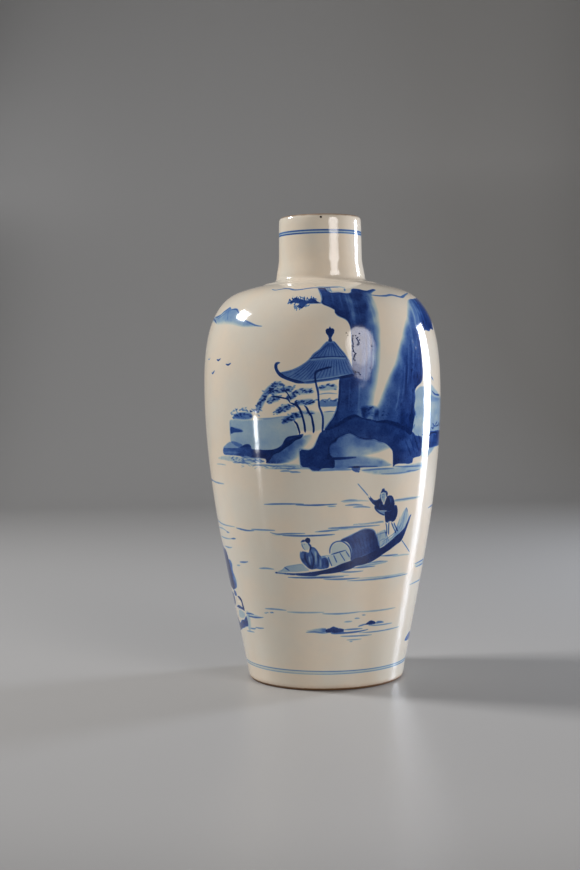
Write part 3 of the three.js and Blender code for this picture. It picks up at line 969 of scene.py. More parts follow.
def paint_ripples(p):
    """Thin wavy lines on the river."""
    for points, ink in (
        ([(-92, 108.6), (-84, 108.9), (-76, 108.8)], 2.4),
        ([(-78, 108.8), (-68, 108.3), (-60, 108.2)], 1.1),
        ([(-32, 99), (-22, 99.5), (-11, 99.6)], 1.7),
        ([(-15, 99.1), (-5, 99), (5, 99.4)], 2.2),
        ([(0.5, 98.3), (4.5, 98.3)], 1),
        ([(7, 100.7), (11, 101.2), (15, 101.2)], 1.1),
        ([(9, 98.6), (14, 98.8), (18, 98.4)], 1.4),
        ([(13, 97.6), (18, 97.6), (22, 97)], 1.3),
        ([(8, 100.2), (16, 100.8), (21, 100.4)], 0.6),
        ([(-92, 86.8), (-80, 86.6), (-68, 85.8), (-55, 85.7)], 1.1),
        ([(-54, 85.3), (-46, 84.6), (-40, 84.8)], 1.9),
        ([(-42, 85.4), (-34, 85.5), (-27, 85.6)], 1.4),
        ([(-30, 84.4), (-26, 83.7), (-20, 84.1), (-11, 84.4)], 1.7),
        ([(-23, 83.1), (-10, 83.1), (4, 83.8)], 1.8),
        ([(-6, 85.2), (0, 85.6), (6, 86.1)], 1.2),
        ([(-84, 82.8), (-72, 83.4), (-64, 82.2)], 0.9),
        ([(-66, 82), (-62, 82)], 1.3),
        ([(-80, 78.4), (-66, 78.4), (-60, 79)], 1),
        ([(-61, 78.8), (-58, 79.2), (-56, 79.3)], 1.8),
        ([(-74, 73.6), (-66, 73.6), (-62, 74.1)], 1.1),
        ([(-56, 66.8), (-51, 67.2), (-48, 67.7)], 1.8),
        ([(-60, 64.6), (-56, 65)], 0.9),
        ([(-40, 64.8), (-35, 65.2), (-30, 65)], 1.2),
        ([(-22, 61.1), (-10, 61.1), (9, 61.5)], 2.2),
        ([(-2, 60.4), (8, 60.2), (18, 60.4)], 1.7),
        ([(-16, 62), (-4, 61.8), (12, 62.1)], 0.7),
        ([(11, 59.2), (30, 59.1), (53, 59.5)], 1.4),
        ([(18, 60.2), (34, 60), (50, 60.3)], 0.6),
        ([(6, 64.1), (13, 63.8), (20, 64)], 1.5),
        ([(14, 65.8), (20, 66), (27, 66.1)], 1.8),
        ([(16, 66.9), (24, 67), (34, 67.6)], 0.9),
        ([(23, 67.8), (29, 68.3), (35, 68)], 1.2),
        ([(30, 71.2), (36, 71), (42, 71)], 1.6),
        ([(38, 70.2), (46, 70.4), (52, 70)], 0.6),
        ([(-40, 43.2), (-32, 43.5), (-25, 43.3)], 1.3),
        ([(-24.5, 42.5), (-14, 42.5), (-2, 42.8)], 0.9),
        ([(-3, 42), (8, 41.8), (20, 42.3)], 1.2),
        ([(20, 42.2), (33, 42), (46, 42.1)], 0.8),
        ([(10, 37.3), (15, 37.4)], 0.9),
        ([(-60, 38.5), (-55, 39), (-51, 38.9)], 1.8),
        ([(-57, 37.3), (-49, 37.5), (-42.5, 38.2)], 1.8),
        ([(-58, 30.6), (-54, 30.8), (-51.5, 31.2)], 1.5),
        ([(-52, 31.8), (-48, 31.8), (-43.6, 32.2)], 1.4),
        ([(-64, 28.4), (-60, 28.7), (-54, 28.9)], 1.1),
        ([(68, 93), (76, 93.6), (92, 93.2)], 1.8),
        ([(60, 64), (72, 64.4), (90, 64.2)], 1.3),
        ([(62, 62), (74, 62.3), (86, 61.9)], 1.1),
        ([(58, 53), (70, 53.4), (88, 53)], 1.1),
    ):
        p.line(points, 0.85, ink * 1.05, ends=(0.3, 0.4))
    p.dabs([(-40, 41), (-37, 41.6), (-34.5, 41.8)], 4, (1.2, 0.7), 1.6, 0.2)
    p.line([(0.6, 87), (8, 87.1), (14, 87.3), (28, 87.5)], 1, 1.5, ends=(0.1, 0.5))
    p.wash([(-5, 84.8), (-4, 85.8), (4, 86.7), (14, 86.9), (14, 86), (4, 85.4)], 0.5, soft=0.5)
    p.wash([(13, 88), (13.4, 88.9), (22, 89.4), (30, 89.8), (30.4, 88.6), (22, 88.2)], 1, soft=0.4)
    p.wash([(-29, 82.8), (-26, 83.8), (-8, 84), (3, 84.2), (3, 82.9), (-12, 82.6)], 0.4, soft=0.5)
    p.wash([(35.4, 98.8), (36, 100.4), (44, 101), (53, 100.9), (56, 99.9), (46, 98.9)], 0.65, soft=0.6)
    p.line([(35.6, 100), (40, 100), (52, 100.2)], 0.7, 0.8, ends=(0.1, 0.5))
    p.wash([(60, 63), (66, 64.8), (84, 65), (86, 61.6), (66, 61.4)], 0.4, soft=0.6)
    p.wash([(-58, 36.8), (-56, 39.2), (-49, 39), (-44, 38), (-48, 36.8)], 0.5, soft=0.6)


def paint_near_rocks(p):
    """Small rocks low in the river, at the front and the left edge."""
    rock = [
        (-1.2, 31.8), (-1.2, 33.6), (1, 34.3), (3.5, 35.3), (5.4, 34.7), (10.2, 33.4), (10.2, 31.9),
        (4, 31.6),
    ]
    p.wash(rock, 3.9, soft=0.4, grain=1)
    tail = [(-14, 32.6), (-8, 34.1), (-1, 34.4), (-1, 31.8), (-8, 31.9)]
    p.wash(tail, 1, soft=0.6, inks=[(-12, 33, 0.6), (-6, 33, 0.9), (-1.6, 33, 2.2)])
    p.line([(-13.5, 31.9), (-8, 32.1), (-3, 31.6), (0, 31.7)], 0.8, 1.5)
    p.line([(2, 31.4), (12, 31.4), (20, 31.7), (26, 32.3)], 1, 2.4, ends=(0.1, 0.5))
    p.line([(8, 29.6), (12, 29.5), (20, 29.3), (29, 29.2)], 0.8, 1.4)
    p.line([(12, 27.5), (17, 27.4), (22, 27.5)], 0.7, 1)
    p.line([(13.8, 26.5), (16, 26.5)], 0.7, 1.2)
    p.line([(10, 33), (14, 33.1), (22, 33.1)], 0.9, 1.6)
    rock = [(23.6, 34.9), (25.4, 36.4), (27.4, 37.2), (30.4, 36.4), (31.4, 35), (28, 34.6)]
    p.wash(rock, 4.1, soft=0.35, grain=0.9)
    p.line([(19, 34.4), (22, 35), (25, 35.5)], 0.9, 1.8)
    p.wash([(30.8, 34.9), (31.6, 36.4), (35, 36.4), (38.2, 35), (34, 34.7)], 1.9, soft=0.5)
    p.line([(26, 34.4), (34, 34), (45, 33.9)], 0.7, 1.3)
    p.line([(20, 30.9), (30, 30.7), (39, 30.7), (53, 30.9)], 0.7, 1.2)
    p.line([(16.4, 38.8), (18, 38.9), (19.8, 38.7)], 0.7, 1.1)
    p.line([(21, 40.4), (23.5, 40.3)], 0.7, 1.1)
    rock = [
        (-105, 57), (-102, 62), (-98, 64.6), (-95.6, 70), (-91.6, 69.4), (-88, 74.6), (-83, 77.6),
        (-79.6, 74), (-77, 72.6), (-73.4, 71.6), (-71.4, 69), (-70.8, 65), (-70.2, 60), (-70, 56),
        (-69.4, 53), (-70.6, 50.6), (-75, 49.4), (-82, 50.4), (-88, 48.2), (-96, 49.6), (-101, 53),
    ]
    shades = [
        (-74, 62, 4.6), (-74, 52, 4.6), (-84, 72, 3.2), (-86, 60, 4), (-96, 64, 2.8), (-100, 56, 3.2),
        (-90, 51, 4.4),
    ]
    p.wash(rock, 4, soft=0.8, mottle=0.16, size=(3, 2.4), inks=shades)
    cracks = [
        (-97.4, 63, 53), (-90, 69, 58), (-84.6, 75, 64), (-80, 72, 60), (-93.4, 59, 51), (-86, 61, 52),
    ]
    p.streaks((1, -0.6), [(*crack, 1.1, 0.3) for crack in cracks], mode="lift")
    rim = [
        (-72, 66.2), (-68, 66.8), (-66, 64.6), (-67, 61), (-65.6, 58.4), (-64.4, 55.4), (-65.8, 52),
        (-69.4, 50.6),
    ]
    shades = [(-70, 64, 2.4), (-67, 64, 1.4), (-69, 57, 2.4), (-65.6, 56, 1.3), (-69, 52, 3)]
    p.wash(rim + [(-73, 51), (-73, 60)], 1.8, soft=0.6, mottle=0.25, size=(2.4, 2.4), inks=shades)
    p.wash([(-74.5, 46.6), (-74.5, 49.4), (-70.8, 49.8), (-68.6, 48.2), (-69.6, 46.6)], 2.8, soft=0.7)
    p.line([(-68, 46.8), (-65, 46.2), (-63, 45), (-62.6, 42.6), (-61.6, 40)], 1.7, 4.2, ends=(0.3, 0.1))
    p.wash(
        [(-76, 40.4), (-70, 42), (-65, 41.8), (-61.4, 41.4), (-61.6, 39.4), (-66, 39.8), (-71, 39.8)],
        4, soft=0.7,
    )
    foot = [
        (-109, 27.6), (-106, 32), (-101, 33.6), (-97, 38.4), (-90, 38.8), (-85, 35), (-80, 34), (-75, 31.6),
        (-70, 33.8), (-65, 34.7), (-62, 36.6), (-60.2, 37.2), (-59.7, 34), (-60.3, 31.6), (-63, 30.6),
        (-68, 29.4), (-76, 27.4), (-86, 25.6), (-98, 26),
    ]
    shades = [(-90, 32, 4.2), (-80, 30, 3.9), (-70, 31.6, 3.4), (-62, 34, 3.8)]
    p.wash(foot, 3.6, soft=0.6, mottle=0.15, size=(3, 2), inks=shades)
    p.wash(
        [(-99, 41), (-100.4, 45), (-95, 49), (-85, 47.6), (-78, 48), (-75, 44), (-79, 40.4), (-90, 40.8)],
        3.6, soft=0.9,
    )
    p.wash([(-74, 35), (-72, 39), (-66, 39.6), (-61.6, 38.4), (-63, 36), (-68, 34.6)], 0.6, soft=0.5)
    p.wash(
        [(-61.4, 30), (-60, 38), (-58.4, 40.4), (-55.4, 39, 1), (-56, 33, 1.5), (-58, 29)],
        0.6, soft=0.6,
    )
    p.wash(
        [(66, 21.2), (70, 24.6), (78, 25.4), (90, 24.6), (96, 22.4), (84, 20.8)],
        2.6, soft=0.5, mottle=0.3,
    )


def paint_boat(p):
    """The covered river boat, with a generic passenger and a generic boatman at its pole."""
    lower = [
        (-29.6, 62.9), (-24, 62.4), (-18, 62.1), (-12, 61.9), (-7, 61.9), (-4.6, 62.4), (-3, 62.8),
        (2, 63.2), (6, 63.7), (10, 64.6), (13.6, 65.5), (16, 66.7), (20, 67.2), (24, 68.2), (28, 70),
        (32, 72.2), (36, 74), (40, 76.2), (43, 77.7), (45, 80.2), (46.6, 84), (48.2, 88), (49.4, 91.6),
    ]
    upper = [
        (47.8, 91), (46.2, 88), (44.6, 85), (42, 83), (39, 81.2), (35, 78.6), (31, 76.2), (28, 75.2),
        (24, 73.7), (19, 72), (15, 70.9), (12.6, 69.9), (8, 68.6), (4, 67), (0, 65.9), (-4, 65),
        (-10, 64.2), (-15, 63.7), (-20, 63.5), (-29.6, 63.6),
    ]
    shades = [
        (-26, 63, 2.8), (-12, 63.2, 3.6), (-2, 64.2, 4.4), (10, 67, 4.5), (20, 70, 4.4), (30, 73.6, 4.6),
        (40, 79, 4.6), (46, 84, 4), (48.4, 90, 2.4),
    ]
    p.wash(lower + upper, 3.8, soft=0.38, grain=1.1, hand=0.05, mottle=0.1, inks=shades)
    p.line([(-29.4, 63.2), (-28, 63.3)], 1.2, 1.6)
    deck = [
        (-27.6, 63.6), (-24.6, 65), (-22.6, 66.6), (-18, 67.5), (-13, 68.4), (-11.6, 67), (-9.6, 65),
        (-16, 64),
    ]
    p.wash(deck, 0.75, soft=0.4, mottle=0.2)
    p.line([(-28, 63.8), (-25, 64.8), (-22.6, 66.6), (-18, 67.6), (-13, 68.5)], 0.5, 1)
    p.line([(-23.6, 66.3), (-22, 65.4), (-20.6, 64.5)], 0.7, 1.8)
    stern = [
        (29, 75.8), (30.4, 78), (33.4, 80), (36, 80.8), (37.6, 83), (38.6, 87), (41, 91), (42.8, 94.2),
        (44.4, 95.6), (45.6, 94.6), (46.2, 92), (46.6, 89), (45.6, 86), (42.6, 83), (38, 80.2), (33, 77.2),
    ]
    p.wash(
        stern,
        0.8, soft=0.5, mottle=0.3, inks=[(34, 79, 1.1), (40, 84, 1.1), (40.6, 89, 0.6), (44.6, 90, 0.9)],
    )
    for turn in (38.6, 40.4, 42.2):
        p.line([(turn, 83.6), (turn + 1, 87), (turn + 2, 91)], 0.5, 0.7)
    p.line([(30, 78.4), (34, 80.6), (37.4, 82.6), (40.4, 86)], 0.5, 1.2)
    p.line([(31.4, 84), (32.6, 80.4), (33, 77.8)], 0.5, 1)
    p.line([(44.4, 95.6), (45.2, 94.6), (45.8, 93)], 0.6, 1.8)
    p.line([(46, 93), (47, 90), (46.4, 87.4)], 0.4, 0.9)
    p.line([(40.6, 84.6), (42.6, 88), (43.6, 92), (44.4, 95.4)], 0.45, 0.9)
    p.line([(31, 84.6), (33, 81.4), (34.2, 78.6)], 0.5, 1.3)
    seat = [
        (26.2, 82.8), (27.8, 84.2), (31, 85.2), (33, 84.4), (32.6, 80.6), (31.4, 77), (28.8, 75.6),
        (27.4, 79.4),
    ]
    p.wash(seat, 0.7, soft=0.4, mottle=0.3)
    p.line([(27, 82.4), (29.4, 83.2), (32.6, 83.4)], 0.5, 1)
    p.line([(28.4, 79), (30.4, 80), (32.4, 80)], 0.5, 0.8)
    canopy = [
        (12.7, 69.8), (13, 72), (12.9, 75), (12, 77.4), (10.2, 79.5), (6.8, 80.5), (9, 81.6), (12.6, 83),
        (15, 84.4), (18, 85.5), (20.4, 85.9), (22.6, 85.7), (24.6, 84.8), (25.8, 83), (27.2, 80),
        (28.2, 77), (29, 75.2), (24, 73.4), (18, 71.4),
    ]
    shades = [
        (10, 81, 3.8), (14, 82, 3.3), (15, 75, 2.9), (20, 78, 3.1), (23, 82, 4), (22, 74, 3.4),
        (27, 76.6, 4.2),
    ]
    p.wash(canopy, 2.5, soft=0.35, mottle=0.1, size=(2, 2), hand=0.05, inks=shades)
    rim = [(7, 80.6), (12.6, 83.1), (18, 85.5), (21, 85.9), (24.6, 84.8), (27.2, 80), (29, 75.3)]
    p.line(rim, 0.8, 1.6, ends=(0.05, 0.1))
    p.line([(12.9, 70.4), (13.1, 74), (11.8, 78)], 0.6, 1)
    for index in range(9):
        t = index / 8
        foot = 13.4 + 14 * t
        p.line(
            [
                (foot, 70.6 + 4.6 * t), (foot - 2 + 1.6 * t, 78 + 2 * t),
                (foot - 5 + 4.4 * t, 81.4 + 3.2 * t),
            ],
            0.42, 0.45,
        )
        p.line(
            [(foot - 1.6 + 3 * t, 82.6 + 1.4 * t), (foot + 1, 77), (min(foot + 4, 28), 73 + 1.6 * t)],
            0.38, 0.4,
        )
    front = [
        (1.5, 73.6), (1.6, 76.5), (3, 79), (5.5, 80.1), (8, 79.9), (10.5, 78.2), (12.2, 75.5), (12.8, 72),
        (12.6, 70),
    ]
    p.line(front, 0.7, 2.6, ends=(0.05, 0.05))
    inner = [
        (2, 74), (2.2, 76.8), (3.6, 78.8), (6, 79.7), (9, 78.8), (11.4, 76), (12.4, 72), (12.2, 70),
        (3, 67),
    ]
    p.wash(inner + [(0.6, 71.4)], 0.45, soft=0.35, grain=1)
    p.line([(2.2, 73.3), (6, 74.4), (10, 75.4)], 0.6, 2.6)
    for path in (
        [(0.4, 72.4), (2.6, 67)],
        [(3.4, 73), (5.2, 69)],
        [(6.6, 74.2), (9.6, 69.6)],
        [(9.8, 75), (12, 71.6)],
    ):
        p.line(path, 0.55, 2.1, ends=(0.1, 0.1))
    p.line([(-3.4, 72.4), (-1, 72.6), (1.4, 72.8)], 0.5, 1.2)
    paint_figures(p)


def paint_figures(p):
    """Two small generic figures in robes."""
    head = [
        (-11.4, 80.2), (-11.2, 81.5), (-10, 82.4), (-8.6, 82), (-8.2, 80.6), (-8.8, 79.3), (-10.2, 79.3),
    ]
    p.wash(head, 4.8, soft=0.3, grain=0.8)
    p.line([(-13.4, 79.8), (-12.4, 80.4), (-11, 80.7)], 1.1, 3.4, ends=(0.3, 0.1))
    face = [(-12.9, 79.6), (-12.8, 77.6), (-11.8, 76), (-10, 75.6), (-9, 77), (-9.2, 79)]
    p.wash(face, 0.45, soft=0.4, grain=1)
    p.line([(-12.9, 79.6), (-12.9, 78.2), (-12.2, 76.6), (-11.2, 75.6)], 0.5, 1.8)
    p.line([(-12.1, 78.6), (-11.2, 78.7)], 0.4, 1)
    p.line([(-9.8, 79.4), (-8.6, 78), (-8.5, 76.6), (-9, 75.2)], 0.9, 3.6)
    robe = [
        (-13.8, 70.4), (-14, 73), (-13.2, 75.2), (-11, 75), (-9.6, 74.6), (-8.8, 77), (-6.8, 76.8),
        (-5.4, 75.2), (-4, 73), (-3, 71.8), (-1, 71.9), (0.4, 70.8), (0.9, 69), (0.7, 66.2), (-3, 65.4),
        (-6, 65.8), (-8, 65.4), (-9.6, 66), (-11.2, 67.6), (-12.8, 69.2),
    ]
    shades = [
        (-13.2, 73, 2.4), (-10.8, 72, 3.6), (-8.4, 72, 2), (-6, 74, 1.7), (-5.6, 69, 2.3), (-8.6, 67, 3.6),
        (-3, 69, 2.4), (0, 69, 4), (-1.6, 67, 2.8), (-10.4, 69, 2.4), (-12, 70, 3),
    ]
    p.wash(robe, 2.5, soft=0.35, grain=1.1, mottle=0.2, size=(1.6, 3), inks=shades)
    p.line([(-8.8, 77.2), (-6.7, 76.8), (-5.2, 75), (-4.2, 73.2), (-3, 71.8)], 0.7, 2.6, ends=(0.1, 0.1))
    p.line([(-3.2, 72), (-1.4, 72), (0.3, 70.9), (0.8, 68.6), (0.6, 66.4)], 0.8, 1.4, ends=(0.1, 0.1))
    p.line([(-13.8, 75), (-14, 72), (-13, 69.4), (-10.8, 67.2), (-9, 65.8)], 0.7, 2, ends=(0.1, 0.1))
    p.line([(-11.4, 74.6), (-11.6, 71.4), (-10.2, 68.4), (-9, 66.6)], 1, 1.6)
    p.line([(-8.6, 75.4), (-7.4, 72.6), (-7.2, 69.4), (-8, 66.2)], 0.8, 1.8)
    p.line([(-5, 74.4), (-4.6, 70.6), (-4.9, 66.8)], 0.7, 1.6)
    p.line([(-2.4, 71), (-2.2, 68.6), (-2.6, 66.4)], 0.6, 1.2)
    p.line([(-9.6, 72.6), (-9.2, 70), (-8.8, 68)], 0.8, 0.6, mode="lift")
    p.line([(-6.2, 75), (-5.9, 71.6), (-6, 68)], 0.8, 0.55, mode="lift")
    p.line([(-3.6, 71), (-3.4, 68.6), (-3.6, 66.6)], 0.6, 0.4, mode="lift")
    face = [
        (27.4, 104), (27.5, 101.8), (28.4, 100.2), (29.4, 98.6), (30.2, 100.4), (30.4, 102.6), (30, 104.2),
    ]
    p.wash(face, 0.9, soft=0.4, grain=1)
    hair = [
        (27, 103.8), (27.4, 105), (28, 106.4), (29.2, 106.6), (29.8, 105.4), (30.6, 105), (30.2, 103.9),
        (28.6, 104.3),
    ]
    p.wash(hair, 3.6, soft=0.4, grain=1)
    p.line([(27.2, 103.8), (27.1, 102.2), (27.8, 100.8)], 0.6, 2.2, ends=(0.1, 0.2))
    p.wash(
        [(29.8, 105), (30.6, 105.2), (31.5, 104), (31.3, 102), (30.4, 101.8), (30.2, 103.4)],
        4.4, soft=0.3, grain=1,
    )
    p.line([(28.3, 103.4), (29.2, 103.5)], 0.4, 1.6)
    p.line([(28.4, 102.6), (28.8, 101.4)], 0.4, 1.3)
    arm = [
        (20.3, 103.4), (21.4, 103.4), (22.6, 101.9), (24.2, 100.8), (25.6, 100.8), (27.2, 101.6),
        (28, 99.6),
    ]
    p.wash(
        arm + [(26, 98), (24, 98), (22.4, 99.6), (21, 101.4)],
        4, soft=0.3, grain=1, mottle=0.2, size=(1.4, 1.4),
    )
    p.line([(20.6, 103.6), (21.6, 102)], 1, 1.4, mode="lift", bleed=0.3)
    torso = [
        (24, 98.6), (25.6, 100.6), (27.8, 101), (28.6, 99.6), (29.4, 98.2), (30.1, 99.8), (31.2, 102.3),
        (33.8, 102.6), (35.4, 100.8), (36.2, 98), (35.6, 95.6), (33, 94.4), (30.4, 94.8), (27.6, 95),
        (25.2, 96),
    ]
    shades = [
        (26, 98.6, 5.2), (28.6, 97, 4.2), (32, 99.6, 5), (33.6, 101, 3.8), (34.6, 98, 5.4), (31, 96, 5.4),
    ]
    p.wash(torso, 4.2, soft=0.3, grain=1, mottle=0.16, size=(1.6, 1.6), inks=shades)
    p.line([(32.6, 101.8), (33.6, 99.4), (33.2, 97)], 0.7, 0.3, mode="lift")
    p.line([(26.4, 99.8), (27.2, 98.2), (27, 96.8)], 0.6, 0.25, mode="lift")
    sleeve = [
        (24.4, 97.6), (26, 96), (28.4, 95), (31, 95), (30.8, 92.4), (28.6, 93.2), (26, 94.6), (24.2, 96.2),
    ]
    p.wash(sleeve, 1.5, soft=0.3, grain=1)
    p.line([(24.2, 97.4), (25.2, 95.6), (27.4, 93.8), (30.4, 92.4)], 0.7, 3, ends=(0.1, 0.1))
    skirt = [
        (30.2, 94.2), (32.4, 94.8), (34.6, 95.8), (36, 97.6), (37.4, 97.4), (38.5, 94.8), (38.4, 91.4),
        (37.2, 89.2), (35.4, 88.4), (34, 89), (32.6, 88.3), (31.2, 88.8), (30.6, 91),
    ]
    shades = [(32, 92, 5.4), (34.4, 92, 5), (36.6, 95, 4.4), (37, 91, 5.4), (33, 89.4, 4.4)]
    p.wash(skirt, 4.4, soft=0.3, grain=1, mottle=0.14, size=(1.6, 2), inks=shades)
    p.line([(31, 94.3), (33.4, 94.5), (35.4, 95.8)], 0.5, 0.35, mode="lift", bleed=0.3)
    p.line([(35.6, 94), (36, 91.6), (35.6, 89.6)], 0.6, 0.25, mode="lift")
    for path in (
        [(31.4, 88.6), (32.2, 86), (32.6, 82.4)],
        [(33.4, 88.6), (33.6, 85.4), (33.9, 82)],
        [(35, 88.4), (36.6, 85.6), (38.8, 82.4)],
        [(36.6, 88.2), (38, 86), (40.2, 83.2)],
    ):
        p.line(path, 0.6, 2.8, ends=(0.05, 0.1))
    p.wash([(31.8, 88), (33.4, 88), (33.8, 82.6), (32.7, 82.6)], 0.4, soft=0.3)
    p.wash([(35.2, 88), (36.6, 87.8), (40, 83.4), (38.8, 82.8)], 0.4, soft=0.3)
    p.line([(15, 109.6), (17.8, 106.3), (20.5, 103.2)], 0.55, 1.8, ends=(0.05, 0.05))
    p.line([(43.6, 78.4), (48, 74.6), (52, 71.3)], 0.6, 1.8, ends=(0.05, 0.1))


def paint_pits(p):
    """Small open pits in the glaze over the left cliff, and finer ones over the right one. Their dent is
    real, and the glaze colours them near black as painted shade.
    """
    for turn, height, width in (
        (10.3, 185.6, 0.9), (10.9, 184.4, 0.4), (13.2, 182.6, 0.42), (12.9, 181.8, 0.5),
        (15.6, 183.3, 0.42), (15, 182.9, 0.35), (15.9, 180.1, 0.9), (15.2, 179.5, 0.4),
        (13.3, 178.6, 0.3), (12.7, 179.2, 0.3), (13, 176.4, 0.4), (14.3, 175.1, 0.3),
        (13.7, 174.6, 0.3), (13.4, 173.6, 0.35), (13.2, 172.5, 0.6), (13.8, 171.8, 0.3),
        (22.3, 178.8, 0.42), (13.9, 165.9, 0.8), (15.5, 165.5, 0.35), (15.9, 164.5, 0.3),
        (16.5, 182, 0.3), (14.7, 184.2, 0.3), (13.4, 184.3, 0.3), (16.7, 185.2, 0.35), (21, 167.9, 0.3),
        (47.4, 180.6, 0.4), (49.2, 177.8, 0.4), (51, 179.2, 0.4), (46.6, 175.4, 0.4), (50.4, 173.4, 0.4),
    ):
        p.touch(
            p.place([(turn - 0.2, height), (turn, height + 0.1), (turn + 0.2, height)]),
            width, 1, "pits",
        )
    for path in (
        [(13.4, 184.2), (12.9, 182), (13.4, 180.4), (12.8, 178.8), (13.3, 176.4), (14.2, 175)],
        [(14.2, 175), (13.4, 173.6), (13.2, 172.4), (13.8, 171.6)],
        [(15.1, 182.8), (15.8, 181.2), (15.6, 179.2)],
        [(13.9, 166), (15.4, 165.4), (16, 164.4)],
    ):
        p.line(path, 0.3, 0.45, mode="pits")


def paint_back(p):
    """The back, plainer than the front: low hills, a bank with trees, a rock and ripples."""
    hill = [
        (100, 186), (108, 190), (116, 194.6), (122, 191.6), (128, 193.4), (138, 189), (150, 186),
        (160, 184, 2),
    ]
    p.wash(hill + [(140, 182.6, 3), (112, 182.8, 3)], 0.8, soft=0.7, mottle=0.2, size=(6, 3))
    p.line(hill, 0.6, 1.2)
    hill = [
        (-170, 181), (-160, 185), (-152, 189.6), (-146, 186.8), (-138, 188.4), (-128, 184),
        (-118, 180.6, 2),
    ]
    p.wash(hill + [(-136, 178.6, 3), (-158, 178.8, 3)], 0.75, soft=0.7, mottle=0.2, size=(6, 3))
    p.line(hill, 0.6, 1.1)
    bank = [
        (-172, 128), (-164, 131), (-150, 133), (-136, 131), (-122, 128.6), (-112, 125.6), (-124, 122.6),
        (-146, 122), (-166, 123.4),
    ]
    p.wash(bank, 2.6, soft=0.5, mottle=0.25, size=(4, 1.8))
    pale = [(-168, 131), (-160, 138), (-146, 140.4), (-132, 137), (-120, 130), (-136, 131.6), (-152, 133.4)]
    p.wash(pale, 0.8, soft=0.6, mottle=0.2)
    for root in (-156, -149, -141):
        lean = (root + 149) * 0.25
        p.line(
            [(root, 133), (root + 0.8, 139), (root - 0.4 + lean, 146), (root + lean * 1.5, 152)],
            0.9, 2.9, ends=(0.05, 0.4),
        )
        for shift, rise in ((-4, 147), (1.5, 150.6), (-2, 154.4), (4.4, 145.4), (2, 157)):
            centre = root + shift + lean
            p.dabs(
                [(centre - 3.4, rise - 0.6), (centre, rise + 0.7), (centre + 3.4, rise - 0.4)],
                10, (2.1, 0.95), 2.4, 0.6,
            )
    rock = [(128, 41), (131, 46), (136, 50.6), (142, 52), (148, 48), (153, 43), (158, 40.6), (144, 39.4)]
    p.wash(rock, 2.6, soft=0.5, mottle=0.3, size=(3, 2.4))
    p.line(rock[:7], 0.8, 1.2)
    p.line([(134, 45), (139, 48.6), (144, 46.6)], 1.1, 0.5, mode="lift", bleed=0.9)
    rock = [(-140, 34), (-136, 38), (-130, 40), (-124, 37.4), (-118, 34.4), (-128, 33)]
    p.wash(rock, 2.4, soft=0.5, mottle=0.3, size=(3, 2.4))
    p.line(rock[:5], 0.8, 1.2)
    for start, end, height in (
        (98, 118, 112), (120, 142, 108.4), (-172, -150, 113), (-146, -122, 110), (104, 130, 90),
        (134, 158, 86.6), (-160, -134, 88), (-126, -104, 84.6), (100, 122, 66), (140, 164, 62.6),
        (-156, -136, 64), (-128, -106, 60.4), (108, 126, 36.6), (160, 174, 38.2), (-172, -148, 31.8),
        (-112, -98, 33), (-118, -100, 104),
    ):
        middle = (start + end) / 2
        p.line([(start, height), (middle, height + 0.5), (end, height + 0.1)], 0.62, 1.3, ends=(0.3, 0.4))
    for turn, height in ((-112, 168), (-104, 165.6), (-120, 163.4)):
        p.line(
            [(turn - 1.5, height + 0.5), (turn, height - 0.4), (turn + 1.6, height + 0.6)],
            0.5, 1.6, ends=(0.3, 0.3),
        )


PAINTERS = (
    paint_rings,
    paint_shoulder,
    paint_mountain,
    paint_far_shore,
    paint_right_cliff,
    paint_left_cliff,
    paint_pavilion,
    paint_left_bank,
    paint_trees,
    paint_arch_rock,
    paint_water_edge,
    paint_ripples,
    paint_near_rocks,
    paint_boat,
    paint_back,
    paint_pits,
)


class Value:
    """A node's output that can be used in sums."""

    def __init__(self, graph, socket):
        self.graph = graph
        self.socket = socket

    def __add__(self, other):
        return self.graph.math("ADD", self, other)

    def __sub__(self, other):
        return self.graph.math("SUBTRACT", self, other)

    def __rsub__(self, other):
        return self.graph.math("SUBTRACT", other, self)

    def __mul__(self, other):
        return self.graph.math("MULTIPLY", self, other)

    def __truediv__(self, other):
        return self.graph.math("DIVIDE", self, other)

    __radd__ = __add__
    __rmul__ = __mul__


class Graph:
    """A node tree that is written as calls."""

    def __init__(self, tree):
        self.tree = tree

    def node(self, kind, settings=None, **sockets):
        """Adds a node. Its settings are set before its sockets; a name like i3 means input number 3."""
        made = self.tree.nodes.new(kind)
        for name, setting in (settings or {}).items():
            if name == "stops":
                self.set_stops(made.color_ramp, setting)
            else:
                setattr(made, name, setting)
        for name, value in sockets.items():
            place = int(name[1:]) if name[1:].isdigit() else name.replace("_", " ")
            self.feed(made.inputs[place], value)
        return made

    def set_stops(self, ramp, stops):
        while len(ramp.elements) < len(stops):
            ramp.elements.new(0.5)
        for element, (position, color) in zip(ramp.elements, stops):
            element.position = position
            element.color = (*color, 1)

    def feed(self, socket, value):
        if isinstance(value, Value):
            self.tree.links.new(value.socket, socket)
        else:
            socket.default_value = value

    def value(self, made, output=0):
        return Value(self, made.outputs[output])

    def math(self, operation, first, second=0.0):
        return self.value(self.node("ShaderNodeMath", {"operation": operation}, i0=first, i1=second))

    def mix(self, factor, first, second, blend="MIX"):
        settings = {"data_type": "RGBA", "blend_type": blend, "clamp_factor": True}
        return self.value(self.node("ShaderNodeMix", settings, i0=factor, i6=first, i7=second), 2)

    def ramp(self, value, low, high, out_low=0.0, out_high=1.0):
        """A number carried smoothly from one range to another."""
        settings = {"interpolation_type": "SMOOTHSTEP"}
        made = self.node("ShaderNodeMapRange", settings, i0=value, i1=low, i2=high, i3=out_low, i4=out_high)
        return self.value(made)


# The heights between which the throwing rings come and go, and how far up and down their slope is read.
RINGS_START = (12 * MM, 30 * MM)
RINGS_END = (190 * MM, 205 * MM)
RING_SHIFT = 7.3
SLOPE_REACH = 0.4 * MM


